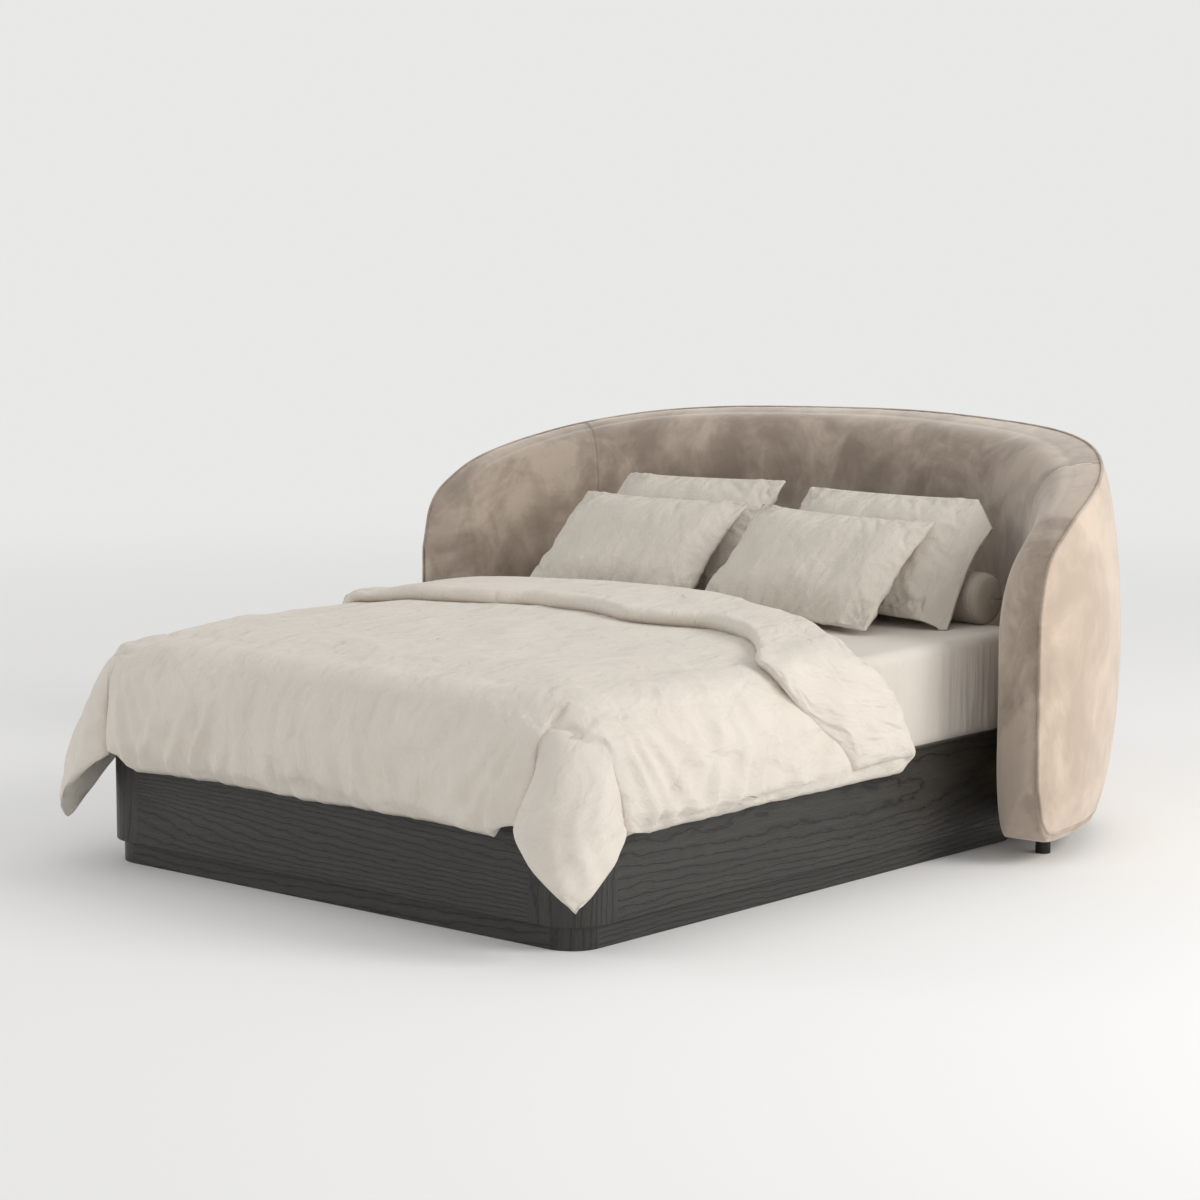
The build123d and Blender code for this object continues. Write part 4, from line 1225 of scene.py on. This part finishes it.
def quiltPath(crest, lip, bend):  # once round its section: v, lift off the bed and side
    d = duvet
    parts = []

    def straight(start, end, length, step, lifted, side):
        share = np.linspace(0, 1, max(int(length / step), 3), endpoint=False)[:, None]
        parts.append((start + (end - start) * share, lifted, side))

    def turned(start, end, count, side):
        turns = np.linspace(start, end, count, endpoint=False)[:, None]
        parts.append((crest + bend * np.sin(turns), bend * (1 - np.cos(turns)), side))

    hem = 0 * lip
    straight(hem, lip + 0.05, 1.25, d["step"], 0.0, 1.0)
    straight(lip + 0.05, crest, 0.8, d["coarseStep"], 0.0, 1.0)
    turned(0, math.pi, 5, 1.0)
    straight(crest, lip, 0.8, d["coarseStep"], 2 * bend, 1.0)
    rowsUp = sum(len(part[0]) for part in parts)
    straight(lip, crest, 0.8, d["step"], 2 * bend, -1.0)
    turned(math.pi, 0, 12, -1.0)
    straight(crest, hem, 2.0, d["coarseStep"], 0.0, -1.0)
    whole = [np.broadcast_arrays(*part) for part in parts]
    v, lifted, face = (np.concatenate(values) for values in zip(*whole))
    return v, lifted, face, rowsUp


def quiltThickness(p, q, lifted):
    d = duvet
    past = np.maximum(p, q)
    hanging, nearEdge = smoothStep(past, 0.0, 0.2), smoothStep(past, -d["edgeReach"], 0)
    thick = d["thick"] + (d["edgeThick"] - d["thick"]) * nearEdge
    thick = thick + (d["skirtThick"] - d["edgeThick"]) * hanging
    thick = np.where(lifted > 0, d["bandThick"] - 0.014 * nearEdge + 0.006 * hanging, thick)
    r, theta = cornerPolar(p, q)
    tucked = np.abs(theta - math.pi / 4) / d["creaseAngle"] - 1
    groove = np.sin(math.pi * np.clip(tucked, 0, 1)) * smoothStep(r, 0.1, 0.3)
    groove = np.where((p > 0) & (q > 0) & (tucked > 0), groove, 0)
    return thick + (d["grooveThick"] - thick) * groove


def buildDuvet():
    d = duvet
    halfWidth = d["sideEdge"] + hangLength()
    spread = np.linspace(-1, 1, int(2 * halfWidth / d["step"]))
    u = halfWidth * np.sign(spread) * (1 - (1 - np.abs(spread)) ** 1.03)
    fromHem = hangLength() - d["footEdge"]
    crest, lip = (easedTable(d[key], u)[:, 0] + fromHem for key in ("crest", "lip"))
    lip = lip + d["lipWaver"] * softNoise(np.stack([u, 0 * u, 0 * u], -1), 5.5, 2)
    bend = (d["thick"] / 2 + d["bandThick"] / 2 + d["bandGap"]) / 2
    v, lifted, face, rowsUp = quiltPath(crest, lip, bend)
    u = np.broadcast_to(u, v.shape)
    onBand = lifted >= 2 * bend - 1e-6

    def middle(u, v):  # the folded-back band hangs less far down than the layer below
        rise = d["bandRise"] * np.clip(lifted / (2 * bend), 0, 1)
        nearEdge = smoothStep(np.maximum(*pastEdges(u, v)), -d["edgeReach"], 0)
        hanging = smoothStep(np.abs(u), d["sideEdge"], halfWidth)
        shorter = np.sign(u) * (np.abs(u) - rise * hanging)
        return duvetPlaces(shorter, v, lifted * (1 - 0.33 * nearEdge))

    small = 0.002
    across = middle(u + small, v) - middle(u - small, v)
    along = middle(u, v + small) - middle(u, v - small)
    normal = unit(np.cross(across, along))
    angle = np.arccos(np.clip(1 - lifted / bend, -1, 1))
    # Through the crest's turn the quilt's upper side becomes the underside of the band
    tilt = np.where(lifted > 0, angle, 0)[..., None]
    faceNormal = normal * np.cos(tilt) - unit(along) * np.sin(tilt)
    hemDistance = np.minimum(halfWidth - np.abs(u), np.where(lifted > 0, 9, v))
    lipDistance = np.where(onBand, v - lip, 9)
    edge = np.clip(np.minimum(hemDistance, lipDistance) / d["edgeSoftness"], 0, 1)
    rounded = np.sqrt(np.maximum(1 - (1 - edge) ** 2, 0))
    rounded = np.where((v > 0.01) & (lipDistance > 0.01), np.maximum(rounded, 0.14), rounded)
    p, q = pastEdges(u, v)
    past = np.maximum(p, q)
    hanging, nearEdge = smoothStep(past, 0.0, 0.2), smoothStep(past, -d["edgeReach"], 0)
    cloth = np.stack([u, v, 0 * v], -1).reshape(-1, 3)
    swell = 0.007 * softNoise(cloth, 2.6, 1) + 0.004 * softNoise(cloth, 6.5, 4)
    swell = swell.reshape(v.shape) + d["plump"]
    outer = (face > 0) == (lifted < bend)
    plump = np.where(outer, swell * (1 - 0.6 * nearEdge + 0.4 * hanging), 0)
    points = middle(u, v) + normal * (plump * rounded)[..., None]
    thick = quiltThickness(p, q, lifted)
    points = points + faceNormal * (face * thick / 2 * rounded)[..., None]
    near = 0.5 * smoothStep(np.minimum(p, q), -0.12, 0.02)[..., None]
    for _ in range(d["smoothing"]):
        padded = np.concatenate([points[:, :1], points, points[:, -1:]], axis=1)
        beside = np.roll(points, 1, 0) + np.roll(points, -1, 0) + padded[:, 2:] + padded[:, :-2]
        points = points + near * (beside / 4 - points)
    # The two sides of the quilt are sewn together along its side hems
    turned = crest + bend * angle + np.where(onBand, crest - v, 0)
    progress = np.where(lifted > 0, turned, v)
    total, wide = v.shape
    faces = gridFaces(total, wide, closeRows=True)
    for column in (0, wide - 1):
        first = list(range(rowsUp + 1))
        second = [0, *range(total - 1, rowsUp - 1, -1)]
        faces += zipped(first, second, progress[:, column], wide, column)
    lengthAlong = np.where(lifted > 0, 2 * crest - v, v)
    flatPlaces = np.stack([u, lengthAlong + np.where(face > 0, 0, 0.003)], -1)
    piece = makePiece("duvet_quilt", points, faces, finishes["duvet"], flatPlaces)
    # Each point of the piece is found again in the grid, as doubles were removed
    rest = gridCoordinates(piece)
    tree = kdtree.KDTree(points[..., 0].size)
    for index, point in enumerate(points.reshape(-1, 3).tolist()):
        tree.insert(point, index)
    tree.balance()
    source = np.array([tree.find(point)[1] for point in rest.tolist()])
    lying = blockDistance(rest, bedBlocks[0])[0] < 0.03
    held = np.where(lying & (rest[:, 2] > 0.6), 1.0, 0.0)
    freedom = 0.001 + d["freedom"] * smoothStep(past, -0.06, 0.16).reshape(-1)[source]
    fillWithAir(piece, d["pressure"], d["frames"], freedom, d["grow"], 0.12, 15, held)
    # Folds and creases are pressed into the filled shape
    folds = hemFolds(u, v) * np.where(lifted > 0, 0.45, 1)
    folds = folds * np.clip(0.45 + hemDistance / 0.03, 0, 1)
    creases = d["crumple"] * clothCreases(u, v) * rounded
    lifts = (folds + np.where(outer, creases, 0)).reshape(-1)[source]
    outwards = normal.reshape(-1, 3)[source]
    filled = clearOf(gridCoordinates(piece) + outwards * lifts[:, None], bedBlocks, 0.0015)
    piece.data.vertices.foreach_set("co", filled.ravel())
    piece.data.update()
    print("duvet points:", len(piece.data.vertices))
    return piece


quilt = buildDuvet()
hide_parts("duvet")
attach(quilt, "duvet")
print("duvet laid")

# Pillows: two sewn sheets blown up by a short simulation, then leaned in place
pillow = {
    "width": 0.662,
    "height": 0.446,
    "thickness": 0.142,
    "startThickness": 0.09,
    "rows": 74,
    "columns": 108,
    "bowAcross": 0.014,
    "bowUp": 0.012,
    "pressure": 3,
    "frames": 14,
    "grow": 0.045,
    "freedom": 0.032,
    "gap": 0.0025,
    "restHeight": 0.6318,
    "front": {"fromFoot": 1.562, "lean": 43, "across": {-1: -0.374, 1: 0.332}, "rise": 0.011},
    "rear": {"fromFoot": 1.768, "lean": 51.5, "across": {-1: -0.345, 1: 0.386}, "rise": 0.022},
    "rearWidth": 0.635,
    "caseEnd": 0.08,
    "caseBend": 0.75,
    "caseFold": 0.016,
    "caseThick": 0.0028,
    "lowFullness": 0.16,
    "belly": 0.004,
    "pressedHeight": 0.03,
    "pressedShare": 0.25,
    "puckers": 0.003,
    "fans": 0.009,
    "fanAngles": (14, 31, 48, 63, 77),
    "pleats": 0.008,
    "pleatCount": 11,
    "drags": 0.005,
    "dragLayers": ((0.5, 0.3, 10), (-0.7, 0.35, 12), (1.3, 0.3, 11)),
}


def pillowWrinkles(x, y, width, seed):  # heights over one face, from its flat places
    q = pillow
    random = np.random.default_rng(seed)
    toSide, toEnd = width / 2 - np.abs(x), q["height"] / 2 - np.abs(y)
    rim = np.clip(np.minimum(toSide, toEnd), 0, 1)
    along = np.where(toSide < toEnd, y, x)
    place = np.stack([along, 3 * (toSide < toEnd), 0 * x], -1)
    total = q["puckers"] * softNoise(place, 58, seed) * np.exp(-rim / 0.035)
    for sideways, upwards in itertools.product((-1, 1), repeat=2):
        dx, dy = width / 2 - sideways * x, q["height"] / 2 - upwards * y
        far = np.hypot(dx, dy)
        angle = np.degrees(np.arctan2(dy, dx))
        for at in np.array(q["fanAngles"]) + random.uniform(-6, 6, len(q["fanAngles"])):
            size = q["fans"] * random.uniform(0.35, 1)
            reach = random.uniform(0.07, 0.15)
            ridge = np.exp(-(((angle - at) / random.uniform(3.5, 6.5)) ** 2))
            total += size * ridge * np.clip(far / 0.035, 0, 1) * np.exp(-((far / reach) ** 2))
    low = y + q["height"] / 2
    count = q["pleatCount"]
    for at in (np.arange(count) + random.uniform(0.1, 0.9, count)) / count - 0.5:
        size = q["pleats"] * random.uniform(0.35, 1) * random.choice([1, 1, -0.6])
        off = x - at * width - random.uniform(-0.25, 0.25) * low
        ridge = np.exp(-((off / random.uniform(0.0065, 0.012)) ** 2))
        total += size * ridge * np.exp(-low / random.uniform(0.05, 0.14))
    for turn, stretch, scale in q["dragLayers"]:
        spinX = (x * math.cos(turn) - y * math.sin(turn)) * stretch
        spinY = x * math.sin(turn) + y * math.cos(turn)
        place = np.stack([spinX, spinY, 0 * x], -1)
        patches = np.clip(softNoise(np.stack([x, y, 0 * x], -1), 6, seed + 3), 0, 1)
        total += q["drags"] * (1 - np.abs(softNoise(place, scale, seed + 5))) ** 2.5 * patches
    return total * (1 - np.exp(-rim / 0.006))


def sewnSheets(name, seed, finish, width, caseSide):  # two sheets sewn round, one end open
    q = pillow
    thick = q["startThickness"]
    columns = np.linspace(-1, 1, q["columns"])
    extra = np.zeros(0)
    if caseSide:  # the pillowcase goes on past the filling at one end
        extra = np.linspace(0, q["caseEnd"], 15)[1:]
    beyond = np.concatenate([0 * columns, extra])
    columns = np.concatenate([columns, np.ones(len(extra))])
    x = columns[None, :] + np.zeros((q["rows"], 1))
    y = np.linspace(-1, 1, q["rows"])[:, None] + 0 * x
    crown = (np.maximum(1 - x**2, 0) * (1 - y**2)) ** 0.42
    flatX = x * (width / 2 - q["bowAcross"] * (1 - y**2) * (np.abs(x) ** 3)) + beyond
    flatY = y * (q["height"] / 2 - q["bowUp"] * (1 - np.minimum(x**2, 1)))
    flatY = flatY * (1 - 0.25 * beyond)
    place = np.stack([flatX, flatY, 0 * x], -1).reshape(-1, 3)
    waves = layeredNoise(place, 9, seed).reshape(x.shape) * 0.004
    slack = q["caseThick"] / 2 * (1 - y**8) * smoothStep(x, 0.97, 1) * (beyond < q["caseEnd"])
    points, faces, flat = [], [], []
    for face in (1, -1):
        z = face * (thick / 2 * crown + (slack if caseSide else 0)) + waves * crown
        grid = np.stack([flatX * (caseSide or 1), flatY, z], -1)
        faces += gridFaces(*x.shape, start=len(points) * x.size)
        points.append(grid.reshape(-1, 3))
        flat.append(np.stack([flatX + face * 0.6, flatY], -1).reshape(-1, 2))
    piece = makePiece(name, np.concatenate(points), faces, finish, np.concatenate(flat))
    start = gridCoordinates(piece)
    held = (np.abs(start[:, 2]) < 0.0016).astype(float)
    fillWithAir(piece, q["pressure"], q["frames"], q["freedom"], q["grow"], 0.1, 15, held)
    filled = gridCoordinates(piece)
    facing = np.sign(start[:, 2]) * (np.abs(start[:, 2]) > 1e-5)
    heights = np.zeros(len(start))
    for face in (1, -1):
        wrinkles = pillowWrinkles(start[:, 0], start[:, 1], width, seed + face)
        heights += (facing == face) * face * wrinkles
    filled[:, 2] += heights * (start[:, 0] * (caseSide or 1) < width / 2)
    return piece, filled


def foldedEnd(local, width, caseSide):  # the case's open end bends back and droops
    q = pillow
    x = local[:, 0] * caseSide
    past = np.maximum(x - width / 2 + 0.004, 0)
    turn = np.minimum(past / q["caseFold"], q["caseBend"])
    straight = np.maximum(past - q["caseFold"] * q["caseBend"], 0)
    out = q["caseFold"] * np.sin(turn) + straight * math.cos(q["caseBend"])
    back = q["caseFold"] * (1 - np.cos(turn)) + straight * math.sin(q["caseBend"])
    local[:, 0] = np.where(past > 0, (width / 2 - 0.004 + out) * caseSide, local[:, 0])
    local[:, 2] -= back
    upper = smoothStep(local[:, 1], -0.02, q["height"] / 2)
    local[:, 1] -= past * (0.75 * upper + 0.1)
    return local


def pillowFrame(kind, side):
    place = pillow[kind]
    lean = math.radians(place["lean"])
    up = np.array([0, math.cos(lean), math.sin(lean)])
    out = np.array([0, -math.sin(lean), math.cos(lean)])
    rest = pillow["restHeight"] + place["rise"]
    middle = np.array([place["across"][side], footY + place["fromFoot"], rest])
    return middle + up * pillow["height"] / 2, np.array([1.0, 0, 0]), up, out


def pushedOff(points, direction, other, gap):  # keeps points in front of a neighbour
    tree = bvhtree.BVHTree.FromObject(other, bpy.context.evaluated_depsgraph_get())
    way = Vector(direction)
    ahead, behind = 0.6, 0.15  # how far the neighbour is looked for
    for index, point in enumerate(points):
        start = Vector(point) + way * ahead
        hit = tree.ray_cast(start, -way, ahead + gap + behind)
        if hit[0] is not None:
            push = (hit[0] - Vector(point)).dot(way) + gap
            if push > 0:
                points[index] = Vector(point) + way * push
    return points


def layPillow(name, kind, side, seed, neighbour, tuning):
    q = pillow
    width = q["width"] if kind == "front" else q["rearWidth"]
    caseSide = 0 if kind == "front" else side
    piece, local = sewnSheets(name, seed, finishes["linen"], width, caseSide)
    local[:, 2] *= q["thickness"] * tuning["fill"] / np.ptp(local[:, 2])
    if caseSide:
        local = foldedEnd(local, width, caseSide)
    x, y, z = local.T
    across, up = x / (width / 2), y / (q["height"] / 2)
    # The filling settles: fuller low down, the top corners droop back
    z = z * (1 - q["lowFullness"] * up) + q["belly"] * (1 - across**2)
    z = z - tuning["droop"] * np.clip(up, 0, 1) ** 2 * np.abs(across) ** 2
    y = y - tuning["sag"] * np.clip(up, 0, 1) * (1 - across**2)
    middle, xWay, yWay, zWay = pillowFrame(kind, side)
    turn = math.radians(tuning["turn"])
    x, y = x * math.cos(turn) - y * math.sin(turn), x * math.sin(turn) + y * math.cos(turn)
    points = middle + x[:, None] * xWay + y[:, None] * yWay + z[:, None] * zWay
    low, reach = q["restHeight"], q["pressedHeight"]
    under = np.maximum(low + reach - points[:, 2], 0)
    pressed = q["pressedShare"] * np.where(under > reach, 0, under)
    points[:, 2] = np.maximum(points[:, 2], low) + pressed
    points = pushedOff(points, zWay, neighbour, q["gap"])
    piece.data.vertices.foreach_set("co", points.ravel())
    piece.data.update()
    return piece


# Bolster: a long roll with a seam near each end
bolster = {
    "radius": 0.079,
    "halfLength": 0.797,
    "fromFoot": 1.994,
    "endRadius": 0.03,
    "endCrown": 0.004,
    "seamFromEnd": 0.03,
    "seamDip": 0.0022,
    "cordRadius": 0.0017,
    "flattening": 0.005,
    "lift": 0.0008,
    "puckers": 0.0012,
    "lumps": 0.0016,
    "rings": 170,
    "sides": 72,
}


def buildBolster():
    b = bolster
    along = np.linspace(-1, 1, b["rings"])
    x = b["halfLength"] * np.sign(along) * (1 - (1 - np.abs(along)) ** 1.3)
    fromEnd = b["halfLength"] - np.abs(x)
    dome = np.sqrt(np.maximum(1 - (1 - np.clip(fromEnd / b["endRadius"], 0, 1)) ** 2, 0))
    fromSeam = fromEnd - b["seamFromEnd"]
    radius = b["radius"] - b["endRadius"] * (1 - dome)
    radius = (radius - b["seamDip"] * np.exp(-((fromSeam / 0.006) ** 2)))[:, None]
    turn = np.linspace(0, 2 * math.pi, b["sides"], endpoint=False)
    x = x[:, None] + 0 * turn
    grid = np.stack([x, radius * np.cos(turn), radius * np.sin(turn)], -1)
    normals = unit(grid * np.array([0, 1, 1]))
    flat = np.stack([x, turn * b["radius"] + 0 * x, 0 * x], -1)
    stretched = (flat * np.array([4, 60, 1])).reshape(-1, 3)
    puckers = softNoise(stretched, 1, 5).reshape(x.shape)
    puckers = puckers * np.exp(-np.abs(fromSeam) / 0.05)[:, None]
    lumps = softNoise(grid.reshape(-1, 3), 9, 2).reshape(x.shape)
    swell = b["puckers"] * puckers + b["lumps"] * lumps - b["lumps"]
    grid = grid + normals * swell[..., None]
    low = -b["radius"] + b["flattening"]
    grid[..., 2] = np.where(grid[..., 2] < low, low + 0.1 * (grid[..., 2] - low), grid[..., 2])
    grid = grid + np.array([0, footY + b["fromFoot"], pillow["restHeight"] - low + b["lift"]])
    rings = list(grid)
    for end in (0, -1):
        centre = rings[end].mean(0)
        more = [centre + (rings[end] - centre) * share for share in (0.66, 0.33, 0)]
        for index, ring in enumerate(more):
            crown = b["endCrown"] * math.sin((index + 1) / 3 * math.pi / 2)
            ring[:, 0] += np.sign(centre[0]) * crown
        rings = rings + more if end == -1 else more[::-1] + rings
    grid = np.array(rings)
    beyond = np.array([0.02, 0.04, 0.06])[:, None, None] * np.array([1, 0, 0])
    flat = np.concatenate([flat[:1] - beyond[::-1], flat, flat[-1:] + beyond])
    faces = gridFaces(*grid.shape[:2], closeColumns=True)
    # the bolster takes the darker linen, painted shade standing in for the shadow it lies in
    piece = makePiece("bolster_roll", grid, faces, finishes["bolsterLinenPaintedShade"], flat[..., :2])
    for end, sideName in ((-1, "left"), (1, "right")):
        ringX = end * (b["halfLength"] - b["seamFromEnd"])
        ring = grid[np.argmin(np.abs(grid[:, :, 0].mean(1) - ringX))]
        path = ring.mean(0) + (ring - ring.mean(0)) * 1.004
        finish = finishes["linenSeam"]
        name = f"bolster_seam_{sideName}"
        layCord(name, [path], b["cordRadius"], finish, "bolster", True)
    return piece


bolsterRoll = buildBolster()
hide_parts("bolster")
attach(bolsterRoll, "bolster")

pillowTunings = {
    ("rear", -1): {"fill": 0.95, "droop": 0.02, "sag": 0.008, "turn": 2.0},
    ("rear", 1): {"fill": 1.0, "droop": 0.02, "sag": 0.008, "turn": 0.6},
    ("front", -1): {"fill": 1.0, "droop": 0.012, "sag": 0.01, "turn": 1.2},
    ("front", 1): {"fill": 1.0, "droop": 0.012, "sag": 0.01, "turn": -0.8},
}
laidPillows = {}
for (kind, side), tuning in pillowTunings.items():
    sideName = "left" if side < 0 else "right"
    below = bolsterRoll if kind == "rear" else laidPillows["rear", side]
    name, seed = f"linen_pillow_{kind}_{sideName}", 20 + side + len(laidPillows)
    piece = layPillow(name, kind, side, seed, below, tuning)
    body = f"pillow_{kind}_{sideName}"
    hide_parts(body)
    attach(piece, body)
    laidPillows[kind, side] = piece
print("pillows laid")

# Mattress in its knitted cover, and the fitted sheet pulled over it
mattress = {
    "halfWidth": 0.9,
    "foot": 0.02,
    "head": 2.02,
    "low": 0.308,
    "top": 0.628,
    "corner": 0.07,
    "edge": 0.028,
    "sheetGap": 0.0018,
    "sheetShort": 0.028,
    "sheetWrinkles": 0.005,
    "sheetCut": (2.52, 2.72),
}


def roundedRing(halfX, halfY, corner):  # even steps round a rounded rectangle, the ways out
    outline = []
    for sideX, sideY, start in ((1, -1, -90), (1, 1, 0), (-1, 1, 90), (-1, -1, 180)):
        turn = np.radians(np.linspace(start, start + 90, 9))
        x = sideX * (halfX - corner) + corner * np.cos(turn)
        outline.append(np.stack([x, sideY * (halfY - corner) + corner * np.sin(turn)], -1))
    outline = np.concatenate([*outline, outline[0][:1]])
    steps = np.linalg.norm(np.diff(outline, axis=0), axis=1)
    lengths = np.concatenate([[0], np.cumsum(steps)])
    even = np.linspace(0, lengths[-1], 360, endpoint=False)
    ring = np.stack([np.interp(even, lengths, outline[:, axis]) for axis in (0, 1)], -1)
    ahead = np.roll(ring, -1, 0) - np.roll(ring, 1, 0)
    return even, ring, unit(np.stack([ahead[:, 1], -ahead[:, 0]], -1))


def wrinkled(grid, even, top, depth):  # pulled folds down the sides, soft ones on top
    place = grid.reshape(-1, 3)
    height = place[:, 2]
    lengthwise = np.stack([np.tile(even, len(grid)), height * 0.8, 0 * height], -1)
    pulled = np.maximum(softNoise(lengthwise, 16, 3), 0) ** 1.3
    side = smoothStep(top - height, 0.01, 0.12)
    soft = np.abs(softNoise(place, 7, 6)) * 0.5
    lift = depth * (pulled * side + soft * (0.35 + 0.65 * side))
    normals = gridNormals(grid, closeColumns=True).reshape(-1, 3)
    flip = np.sign(np.sum((place - place.mean(0)) * normals, axis=1, keepdims=True))
    return (place + normals * flip * lift[:, None]).reshape(grid.shape)


def roundedBox(name, grow, low, top, finish, wrinkles=0.0, openBelow=False):
    m = mattress
    halfX = m["halfWidth"] + grow
    foot, head = footY + m["foot"] - grow, footY + m["head"] + grow
    edge = m["edge"] + grow
    even, ring, outwards = roundedRing(halfX, (head - foot) / 2, m["corner"] + grow)
    # From a line in the middle over the top, round the edge and down the side
    rows = [
        (ring * share * (1 - edge / halfX), top)
        for share in np.linspace(0, 1, 44, endpoint=False)
    ]
    for turn in np.radians(np.linspace(0, 90, 8)):
        inset = outwards * edge * (1 - math.sin(turn))
        rows.append((ring - inset, top - edge * (1 - math.cos(turn))))
    for share in np.linspace(0, 1, 22)[1:]:
        rows.append((ring, top - edge + (low - top + edge) * share))
    plan = np.array([xy for xy, z in rows])
    heights = np.array([z for xy, z in rows])[:, None, None]
    middle = np.array([0, (foot + head) / 2])
    grid = np.concatenate([plan + middle, heights + 0 * plan[..., :1]], axis=-1)
    if wrinkles:
        grid = wrinkled(grid, even, top, wrinkles)
    # The flat coordinates unfold the sides outwards from the top, with no break at the edge
    flat = plan + outwards * np.maximum(top - edge - heights, 0)
    if not openBelow:
        last = grid[-1]
        under = np.array([last.mean(0) + (last - last.mean(0)) * share for share in (0.5, 0)])
        grid = np.concatenate([grid, under])
        flat = np.concatenate([flat, flat[-1:], flat[-1:]])
    faces = gridFaces(*grid.shape[:2], closeColumns=True)
    return makePiece(name, grid, faces, finish, flat)


body = roundedBox("mattress_body", 0, mattress["low"], mattress["top"], finishes["knit"])
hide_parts("mattress_core", "mattress_topper")
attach(body, "mattress")
sheetPiece = roundedBox(
    "bed_sheet",
    mattress["sheetGap"],
    mattress["low"] + mattress["sheetShort"],
    mattress["top"] + mattress["sheetGap"],
    finishes["sheet"],
    mattress["sheetWrinkles"],
    True,
)
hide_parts("fitted_sheet")
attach(sheetPiece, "mattress")
print("mattress made up")
